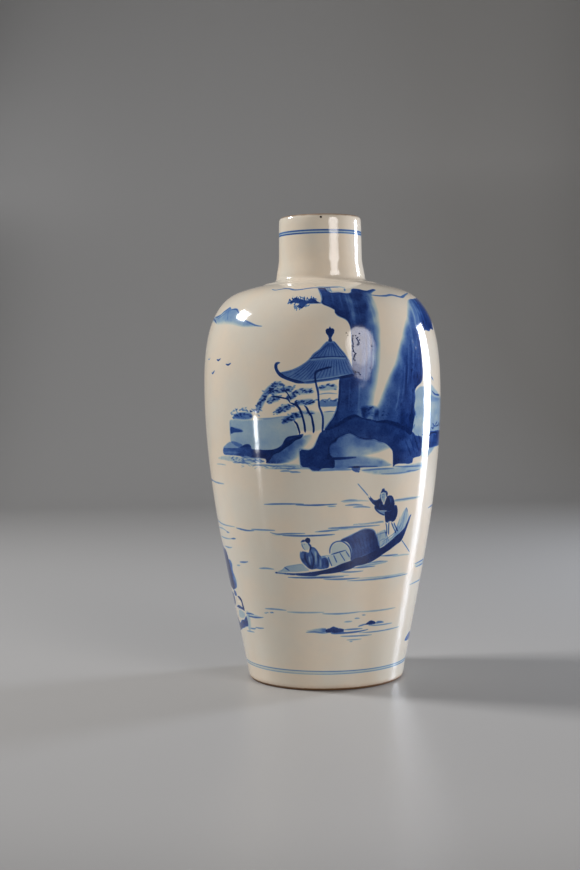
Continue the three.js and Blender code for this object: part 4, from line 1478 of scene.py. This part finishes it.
def build_wrap():
    """The tree that wraps the flat sheet round the bottle, with faint throwing rings in its wall."""
    tree = bpy.data.node_groups.new("wrap_bottle", "GeometryNodeTree")
    face = tree.interface
    face.new_socket("Geometry", in_out="INPUT", socket_type="NodeSocketGeometry")
    face.new_socket("Outline", in_out="INPUT", socket_type="NodeSocketObject")
    face.new_socket("Ring Depth", in_out="INPUT", socket_type="NodeSocketFloat")
    face.new_socket("Ring Spacing", in_out="INPUT", socket_type="NodeSocketFloat")
    face.new_socket("Ring Seed", in_out="INPUT", socket_type="NodeSocketInt")
    face.new_socket("Glaze", in_out="INPUT", socket_type="NodeSocketMaterial")
    face.new_socket("Geometry", in_out="OUTPUT", socket_type="NodeSocketGeometry")
    g = Graph(tree)
    given = tree.nodes.new("NodeGroupInput")
    taken = {socket.name: Value(g, socket) for socket in given.outputs if socket.name}
    outline = g.value(g.node("GeometryNodeObjectInfo", None, Object=taken["Outline"]), "Geometry")
    curve = g.value(g.node("GeometryNodeMeshToCurve", None, Mesh=outline))
    flat = g.node("ShaderNodeSeparateXYZ", None, i0=g.value(g.node("GeometryNodeInputPosition")))
    turn, along = g.value(flat, 0), g.value(flat, 1)
    sample = g.node("GeometryNodeSampleCurve", {"mode": "LENGTH"}, Curves=curve, Length=along)
    spot = g.node("ShaderNodeSeparateXYZ", None, i0=g.value(sample, "Position"))
    heading = g.node("ShaderNodeSeparateXYZ", None, i0=g.value(sample, "Tangent"))
    radius, height = g.value(spot, 0), g.value(spot, 2)

    def pressed(at):
        row = at / taken["Ring Spacing"] + taken["Ring Seed"] * RING_SHIFT
        flat_noise = {"noise_dimensions": "1D"}
        wave = g.value(g.node("ShaderNodeTexNoise", flat_noise, W=row, Scale=1.0, Detail=1.0))
        low = g.ramp(at, *RINGS_START)
        high = g.ramp(at, *RINGS_END, 1.0, 0.0)
        return wave * low * high * taken["Ring Depth"]

    above, below = pressed(height + SLOPE_REACH), pressed(height - SLOPE_REACH)
    slope = (above - below) / (2 * SLOPE_REACH)
    radius = radius - pressed(height)
    out, up = g.value(heading, 2), 0 - g.value(heading, 0)
    up = up + slope * out
    sine, cosine = g.math("SINE", turn), g.math("COSINE", turn)
    place = g.node("ShaderNodeCombineXYZ", None, i0=radius * sine, i1=0 - radius * cosine, i2=height)
    normal = g.node("ShaderNodeCombineXYZ", None, i0=out * sine, i1=0 - out * cosine, i2=up)
    moved = g.node(
        "GeometryNodeStoreNamedAttribute", {"data_type": "FLOAT_VECTOR", "domain": "POINT"},
        Geometry=taken["Geometry"], Name="glaze_normal", Value=g.value(normal),
    )
    moved = g.node("GeometryNodeSetPosition", None, Geometry=g.value(moved), Position=g.value(place))
    dressed = g.node("GeometryNodeSetMaterial", None, Geometry=g.value(moved), Material=taken["Glaze"])
    whole = g.node("GeometryNodeRealizeInstances", None, Geometry=g.value(dressed))
    result = tree.nodes.new("NodeGroupOutput")
    tree.links.new(whole.outputs[0], result.inputs[0])
    return tree


def color_of(srgb):
    """A linear colour from a display colour."""
    return tuple(c / 12.92 if c <= 0.04045 else ((c + 0.055) / 1.055) ** 2.4 for c in srgb)


# The amounts of cobalt at which its colour is worked out; between them it is blended.
PIGMENT_STOPS = (0, 0.2, 0.45, 0.8, 1.2, 1.8, 2.6, 3.5, 4.5, 6)

# Two tints of the glaze, the painted shade in the pits, and the colours of pinholes, lip edge, foot stain,
# bare clay and lip speck.
WARM = (1.02, 0.985, 0.93)
COOL = (0.95, 0.985, 0.985)
CLOUD_SHADE = 0.93
PIT_SHADE_COLOR = (0.05, 0.045, 0.05, 1)
PIN_COLOR = (0.12, 0.07, 0.035, 1)
LIP_COLOR = (0.2, 0.105, 0.05, 1)
STAIN_COLOR = (0.48, 0.3, 0.17, 1)
BARE_COLOR = (0.17, 0.085, 0.035, 1)
SPECK_COLOR = (0.02, 0.012, 0.008, 1)

# Where each of them comes in, from none to all. The foot's edge is a radius and the speck's a distance.
LIP_EDGE = (249.1 * MM, 250.2 * MM)
STAIN_EDGE = (5.5 * MM, 1.8 * MM)
BARE_EDGE = (1.9 * MM, 1.4 * MM)
FOOT_EDGE = (36.4 * MM, 37 * MM)
SPECK_EDGE = (1.0 * MM, 0.65 * MM)
SPECK_PLACE = (0, -22.3 * MM, 248 * MM)
GLAZE_RELIEF = 0.022 * MM


def passed_by_cobalt(load):
    """The light that a layer of cobalt lets through: a thin wash takes little green and no blue."""
    green = 0.63 * load + 0.018 * load**2 - 0.13 * (1 - math.exp(-3 * load))
    blue = 0.062 * load**2
    return math.exp(-load), math.exp(-green), math.exp(-blue)


def make_glaze(settings):
    """Clear glaze over off-white clay and cobalt, with a brown lip edge and a bare foot."""
    material = bpy.data.materials.new("painted_glaze")
    material.use_nodes = True
    g = Graph(material.node_tree)
    shader = material.node_tree.nodes["Principled BSDF"]
    spot = g.value(g.node("ShaderNodeTexCoord"), "Object")
    parts = g.node("ShaderNodeSeparateXYZ", None, i0=spot)
    height = g.value(parts, 2)
    flat = g.node("ShaderNodeCombineXYZ", None, i0=g.value(parts, 0), i1=g.value(parts, 1))
    radius = g.value(g.node("ShaderNodeVectorMath", {"operation": "LENGTH"}, i0=g.value(flat)), 1)

    def grain(scale, detail=2.0, rough=0.5):
        made = g.node("ShaderNodeTexNoise", None, Vector=spot, Scale=scale, Detail=detail, Roughness=rough)
        return g.value(made)

    def painted(name):
        return g.value(g.node("ShaderNodeAttribute", {"attribute_name": name}), "Fac")

    ink = painted("cobalt")
    pits = painted("pits")
    load = ink * settings.pigment_strength * (0.94 + grain(900, 3.0, 0.6) * 0.38)
    heaps = g.ramp(grain(1300, 1.0), 0.6, 0.72) * g.ramp(ink, 1.5, 3.0)
    load = load + heaps * 0.7
    limit = PIGMENT_STOPS[-1]
    stops = [(load_here / limit, passed_by_cobalt(load_here)) for load_here in PIGMENT_STOPS]
    passed = g.value(g.node("ShaderNodeValToRGB", {"stops": stops}, Fac=load / limit))

    clay = color_of(settings.glaze_color)
    warm = tuple(c * k for c, k in zip(clay, WARM))
    cool = tuple(c * k for c, k in zip(clay, COOL))
    base = g.mix(g.ramp(grain(38, 3.0), 0.35, 0.65), (*warm, 1), (*cool, 1))
    cloudy = g.ramp(grain(210, 4.0, 0.65), 0.35, 0.7)
    base = g.mix(cloudy * 0.3, base, (*(c * CLOUD_SHADE for c in clay), 1))
    color = g.mix(1.0, base, passed, "MULTIPLY")
    # The pits are dented by the bump below. Their near-black colour is painted shade, where they lose the
    # lamps' reflection.
    color = g.mix(pits * 0.75, color, PIT_SHADE_COLOR)
    cells = g.node("ShaderNodeTexVoronoi", {"feature": "F1"}, Vector=spot, Scale=62.0, Randomness=1.0)
    chosen = g.node("ShaderNodeSeparateColor", None, i0=g.value(cells, "Color"))
    pin = g.ramp(g.value(cells, "Distance"), 0.012, 0.03, 1.0, 0.0) * g.ramp(g.value(chosen, 0), 0.72, 0.75)
    color = g.mix(pin * 0.75, color, PIN_COLOR)

    edge = g.ramp(height + grain(260) * 0.9 * MM, *LIP_EDGE)
    color = g.mix(edge * 0.8, color, LIP_COLOR)
    stain = g.ramp(height + grain(150, 3.0) * 3 * MM, *STAIN_EDGE)
    color = g.mix(stain * 0.5, color, STAIN_COLOR)
    bare = g.ramp(height + grain(400) * 0.5 * MM, *BARE_EDGE) * g.ramp(radius, *FOOT_EDGE)
    color = g.mix(bare, color, BARE_COLOR)
    away_from = g.node("ShaderNodeVectorMath", {"operation": "DISTANCE"}, i0=spot, i1=SPECK_PLACE)
    speck = g.ramp(g.value(away_from, 1) + grain(1500) * 0.4 * MM, *SPECK_EDGE)
    color = g.mix(speck, color, SPECK_COLOR)

    gloss = settings.roughness + grain(120, 2.0) * 0.035 + bare * 0.5 + pin * 0.2 + pits * 0.25
    relief = grain(330, 2.0) * 0.7 + grain(60, 2.0) * 4 - pin * 5 - pits * 8
    bump = g.node("ShaderNodeBump", None, Strength=1.0, Distance=GLAZE_RELIEF, Height=relief)
    g.feed(shader.inputs["Base Color"], color)
    g.feed(shader.inputs["Roughness"], gloss)
    g.feed(shader.inputs["Normal"], g.value(bump))
    shader.inputs["IOR"].default_value = 1.5
    return material


def make_outline(outline):
    """The outline as a fine line in a plane through the axis."""
    mesh = bpy.data.meshes.new("bottle_outline")
    spots = [(radius * MM, 0, height * MM) for radius, height in zip(outline.radius, outline.height)]
    mesh.from_pydata(spots, [(index, index + 1) for index in range(len(spots) - 1)], [])
    line = bpy.data.objects.new("bottle_outline", mesh)
    bpy.context.scene.collection.objects.link(line)
    return line


# The baking map: the front's share of its width, where the inside and the outside start, and the gaps.
FRONT_SHARE = 0.65
INSIDE_FROM = 0.06
OUTSIDE_FROM = 0.2
MAP_GAP = 0.004


def spread(part, low, high):
    """A part from 0 to 1 as a place between two edges of the map, with a gap at both."""
    return low + MAP_GAP + part * (high - low - 2 * MAP_GAP)


def place_on_map(turns, along, outline):
    """Where each face corner lies on the baking map. The front gets most of it."""
    foot, crown = outline.along[outline.foot], outline.along[outline.crown]
    end = outline.along[-1]
    middle_turn, middle_along = turns.mean(1)[:, None], along.mean(1)[:, None]
    back_turn = np.where(middle_turn < 0, turns + 360, turns)
    outside = (middle_along > foot) & (middle_along < crown)
    front = np.abs(middle_turn) < 90
    front_u = spread((turns + 90) / 180, 0, FRONT_SHARE)
    back_u = spread((back_turn - 90) / 180, FRONT_SHARE, 1)
    hidden_u = spread((turns + 180) / 360, 0, 1)
    outer_v = spread((along - foot) / (crown - foot), OUTSIDE_FROM, 1)
    inner_v = spread((along - crown) / (end - crown), INSIDE_FROM, OUTSIDE_FROM)
    under_v = spread(along / foot, 0, INSIDE_FROM)
    u = np.where(outside, np.where(front, front_u, back_u), hidden_u)
    v = np.where(outside, outer_v, np.where(middle_along < foot, under_v, inner_v))
    return np.stack([u, v], 2)


def make_sheet(outline, seed):
    """The flat painted sheet, closed along its seam and at its two ends."""
    painting = Painting(outline, seed)
    for paint in PAINTERS:
        paint(painting)
    points, faces, ink, pits = painting.mesh()
    corners = place_on_map(points[faces, 0], points[faces, 1], outline)
    turn, along = points.T
    target = np.arange(len(points))
    left = {round(along[index], 2): index for index in np.flatnonzero(turn < -180 + 1e-3)}
    for index in np.flatnonzero(turn > 180 - 1e-3):
        target[index] = left[round(along[index], 2)]
    for pole in (along < 1e-3, along > outline.along[-1] - 1e-2):
        target[pole] = np.flatnonzero(pole)[0]
    faces = target[faces]
    whole = (faces[:, 0] != faces[:, 1]) & (faces[:, 1] != faces[:, 2]) & (faces[:, 2] != faces[:, 0])
    faces, corners = faces[whole], corners[whole]
    used, faces = np.unique(faces, return_inverse=True)
    faces = faces.reshape(-1, 3)
    mesh = bpy.data.meshes.new("painted_sheet")
    flat = np.stack([np.radians(turn[used]), along[used] * MM, np.zeros(len(used))], 1)
    mesh.from_pydata(flat.tolist(), [], faces.tolist())
    for name, amount in (("cobalt", ink), ("pits", pits)):
        layer = mesh.attributes.new(name, "FLOAT", "POINT")
        layer.data.foreach_set("value", amount[used].astype(np.float32))
    mesh.uv_layers.new(name="OFBake").data.foreach_set("uv", corners.ravel().astype(np.float32))
    sheet = bpy.data.objects.new("painted_sheet", mesh)
    bpy.context.scene.collection.objects.link(sheet)
    return sheet


def wrap(sheet, line, material, settings):
    """Wraps the sheet and returns the finished plain mesh."""
    tree = build_wrap()
    modifier = sheet.modifiers.new("wrap", "NODES")
    modifier.node_group = tree
    sockets = {item.name: item.identifier for item in tree.interface.items_tree if item.in_out == "INPUT"}
    for name, value in (
        ("Outline", line),
        ("Ring Depth", settings.ring_depth),
        ("Ring Spacing", settings.ring_spacing),
        ("Ring Seed", settings.ring_seed),
        ("Glaze", material),
    ):
        modifier[sockets[name]] = value
    seen = sheet.evaluated_get(bpy.context.evaluated_depsgraph_get())
    mesh = bpy.data.meshes.new_from_object(seen)
    sheet.modifiers.remove(modifier)
    normals = np.empty(len(mesh.vertices) * 3, np.float32)
    mesh.attributes["glaze_normal"].data.foreach_get("vector", normals)
    mesh.attributes.remove(mesh.attributes["glaze_normal"])
    mesh.shade_smooth()
    normals = normals.reshape(-1, 3)
    normals /= np.linalg.norm(normals, axis=1)[:, None]
    mesh.normals_split_custom_set_from_vertices(normals)
    return mesh


class BottleSettings(bpy.types.PropertyGroup):
    """What a user may change on the bottle."""

    glaze_color: bpy.props.FloatVectorProperty(
        name="Glaze Color", description="Display colour of the bare glaze", subtype="COLOR_GAMMA",
        size=3, min=0, max=1, default=(0.866, 0.825, 0.764),
    )
    pigment_strength: bpy.props.FloatProperty(
        name="Pigment Strength", description="How dark the cobalt is", default=1, min=0, max=2,
    )
    roughness: bpy.props.FloatProperty(
        name="Roughness", description="Roughness of the glaze", default=0.07, min=0, max=1,
        subtype="FACTOR",
    )
    ring_depth: bpy.props.FloatProperty(
        name="Ring Depth", description="Depth of the throwing rings", default=0.06 * MM, min=0,
        unit="LENGTH", precision=5,
    )
    ring_spacing: bpy.props.FloatProperty(
        name="Ring Spacing", description="Height between throwing rings", default=9 * MM, min=1 * MM,
        unit="LENGTH",
    )
    ring_seed: bpy.props.IntProperty(
        name="Ring Seed", description="Seed of the throwing rings", default=3,
    )
    brush_seed: bpy.props.IntProperty(
        name="Brush Seed", description="Seed of the brush's small touches", default=7,
    )


class StageSettings(bpy.types.PropertyGroup):
    """What a user may change on the floor, the lights and the camera."""

    floor_color: bpy.props.FloatVectorProperty(
        name="Floor Color", description="Display colour of the floor", subtype="COLOR_GAMMA",
        size=3, min=0, max=1, default=(0.66, 0.657, 0.65),
    )
    light: bpy.props.FloatProperty(
        name="Light", description="Strength of all lamps together", default=1, min=0, subtype="FACTOR",
    )
    sky: bpy.props.FloatProperty(
        name="Sky", description="Strength of the even light", default=0.1, min=0,
    )
    lens: bpy.props.FloatProperty(
        name="Lens", description="Focal length of the camera", default=58.47, min=1, unit="CAMERA",
    )


class OBJECT_OT_glazed_bottle(bpy.types.Operator):
    """Make the painted, glazed bottle"""

    bl_idname = "object.glazed_bottle_add"
    bl_label = "Glazed Bottle"

    def execute(self, context):
        settings = context.scene.bottle_settings
        outline = Outline()
        line = make_outline(outline)
        sheet = make_sheet(outline, settings.brush_seed)
        mesh = wrap(sheet, line, make_glaze(settings), settings)
        bpy.data.objects.remove(sheet)
        bpy.data.objects.remove(line)
        bottle = bpy.data.objects.new("glazed_bottle", mesh)
        mesh.name = "glazed_bottle"
        context.scene.collection.objects.link(bottle)
        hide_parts("porcelain_bottle")
        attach(bottle, "root")
        return {"FINISHED"}


# The height on the bottle that every lamp faces.
LAMP_AIM = 0.14

# Name, bearing in degrees, distance, height, size in metres, glow, colour, and the shape if no rectangle.
LAMPS = (
    ("front_softbox", 36.5, 1.0, 0.44, (0.52, 0.52), 5.4, (1, 0.97, 0.98), "DISK"),
    ("front_softbox_core", 36.5, 0.99, 0.485, (0.42, 0.42), 3.9, (1, 0.94, 0.89), "DISK"),
    ("right_strip", 116.4, 0.9, 0.225, (0.185, 0.45), 33.5, (0.8, 0.865, 1)),
    ("left_softbox", -102, 0.95, 0.8, (0.26, 0.17), 95.0, (1, 0.99, 1)),
    ("left_strip", -66.0, 0.714, 0.054, (0.05, 0.078), 27.0, (1, 1, 1)),
)


# The floor in metres: how far it reaches ahead, behind and sideways, its curve, its top, and where its
# colour darkens away from the bottle to its darkest, a painted falloff of light.
FLOOR_AHEAD = 2.2
FLOOR_BEHIND = 1.5
FLOOR_SIDE = 2.2
FLOOR_BEND = 0.5
FLOOR_BEND_STEPS = 16
FLOOR_TOP = 2.6
FLOOR_FALLOFF_REACH = (0.35, 0.85)
FLOOR_PAINTED_SHADE_COLOR = (0.06, 0.058, 0.055, 1)


def make_floor(settings):
    """A floor that curves up behind the bottle. Its colour is pale near the bottle and dark away from it, a
    painted falloff of light.
    """
    flat_end = FLOOR_BEHIND - FLOOR_BEND
    rows = [(-FLOOR_AHEAD, 0), (flat_end, 0)]
    for step in range(1, FLOOR_BEND_STEPS + 1):
        angle = step / FLOOR_BEND_STEPS * math.pi / 2
        rows.append((flat_end + FLOOR_BEND * math.sin(angle), FLOOR_BEND - FLOOR_BEND * math.cos(angle)))
    rows.append((FLOOR_BEHIND, FLOOR_TOP))
    spots = [(x, y, z) for y, z in rows for x in (-FLOOR_SIDE, FLOOR_SIDE)]
    faces = [(2 * k, 2 * k + 1, 2 * k + 3, 2 * k + 2) for k in range(len(rows) - 1)]
    mesh = bpy.data.meshes.new("floor")
    mesh.from_pydata(spots, [], faces)
    mesh.shade_smooth()
    material = bpy.data.materials.new("pale_floor")
    material.use_nodes = True
    g = Graph(material.node_tree)
    shader = material.node_tree.nodes["Principled BSDF"]
    parts = g.node("ShaderNodeSeparateXYZ", None, i0=g.value(g.node("ShaderNodeTexCoord"), "Object"))
    ahead = g.math("MINIMUM", g.value(parts, 1), 0.0) * 1.5
    away_from = g.node("ShaderNodeCombineXYZ", None, i0=g.value(parts, 0), i1=ahead)
    reach = g.value(g.node("ShaderNodeVectorMath", {"operation": "LENGTH"}, i0=g.value(away_from)), 1)
    pale = (*color_of(settings.floor_color), 1)
    # Pale near the bottle, darkening to near black away from it: painted falloff of light.
    g.feed(shader.inputs["Base Color"], g.mix(g.ramp(reach, *FLOOR_FALLOFF_REACH), pale, FLOOR_PAINTED_SHADE_COLOR))
    shader.inputs["Roughness"].default_value = 0.35
    mesh.materials.append(material)
    floor = bpy.data.objects.new("floor", mesh)
    bpy.context.scene.collection.objects.link(floor)


def add_lamp(name, bearing, distance, height, size, glow, color, shape="RECTANGLE"):
    """A soft lamp that faces the bottle. Bearing 0 is in front of it and 90 to the viewer's right."""
    lamp = bpy.data.lights.new(name, "AREA")
    lamp.shape = shape
    lamp.size, lamp.size_y = size
    area = size[0] * size[1] * (math.pi / 4 if shape in {"DISK", "ELLIPSE"} else 1)
    lamp.energy = glow * math.pi * area
    lamp.color = color
    angle = math.radians(bearing)
    place = Vector((distance * math.sin(angle), -distance * math.cos(angle), height))
    made = bpy.data.objects.new(name, lamp)
    bpy.context.scene.collection.objects.link(made)
    aim = Vector((0, 0, LAMP_AIM)) - place
    made.matrix_world = Matrix.Translation(place) @ aim.to_track_quat("-Z", "Y").to_matrix().to_4x4()


SKY_COLOR = (1, 0.97, 0.93, 1)

# Where the camera stands, how far it is turned up from looking down, and how far it leans.
CAMERA_PLACE = Vector((-17.96, -772.06, 166.02)) * MM
CAMERA_TILT = math.radians(90 - 2.517)
CAMERA_ROLL = math.radians(-0.848)


class OBJECT_OT_bottle_stage(bpy.types.Operator):
    """Make the floor, the lights and the camera"""

    bl_idname = "object.bottle_stage_add"
    bl_label = "Stage"

    def execute(self, context):
        settings = context.scene.stage_settings
        make_floor(settings)
        for name, *rest in LAMPS:
            add_lamp(name, *rest[:4], rest[4] * settings.light, *rest[5:])
        world = bpy.data.worlds.new("studio")
        world.use_nodes = True
        back = world.node_tree.nodes["Background"]
        back.inputs["Color"].default_value = SKY_COLOR
        back.inputs["Strength"].default_value = settings.sky
        context.scene.world = world
        context.scene.view_settings.view_transform = "Standard"
        camera = bpy.data.cameras.new("camera")
        camera.lens = settings.lens
        camera.sensor_width = 36
        camera.sensor_fit = "AUTO"
        camera.clip_start = 0.01
        made = bpy.data.objects.new("camera", camera)
        context.scene.collection.objects.link(made)
        tilt = Matrix.Rotation(CAMERA_TILT, 4, "X")
        roll = Matrix.Rotation(CAMERA_ROLL, 4, "Z")
        made.matrix_world = Matrix.Translation(CAMERA_PLACE) @ tilt @ roll
        context.scene.camera = made
        return {"FINISHED"}


class VIEW3D_PT_bottle(bpy.types.Panel):
    """The bottle's sizes, colours and makers"""

    bl_label = "Bottle"
    bl_idname = "VIEW3D_PT_bottle"
    bl_space_type = "VIEW_3D"
    bl_region_type = "UI"
    bl_category = "Bottle"

    def draw(self, context):
        for settings in (context.scene.bottle_settings, context.scene.stage_settings):
            for name in settings.bl_rna.properties.keys():
                if name not in {"rna_type", "name"}:
                    self.layout.prop(settings, name)
        self.layout.operator(OBJECT_OT_glazed_bottle.bl_idname)
        self.layout.operator(OBJECT_OT_bottle_stage.bl_idname)


CLASSES = (BottleSettings, StageSettings, OBJECT_OT_glazed_bottle, OBJECT_OT_bottle_stage, VIEW3D_PT_bottle)


def register():
    for made in CLASSES:
        bpy.utils.register_class(made)
    bpy.types.Scene.bottle_settings = bpy.props.PointerProperty(type=BottleSettings)
    bpy.types.Scene.stage_settings = bpy.props.PointerProperty(type=StageSettings)


def unregister():
    del bpy.types.Scene.stage_settings
    del bpy.types.Scene.bottle_settings
    for made in reversed(CLASSES):
        bpy.utils.unregister_class(made)


def main():
    register()
    bpy.ops.object.bottle_stage_add()
    bpy.ops.object.glazed_bottle_add()


if __name__ == "__main__":
    main()
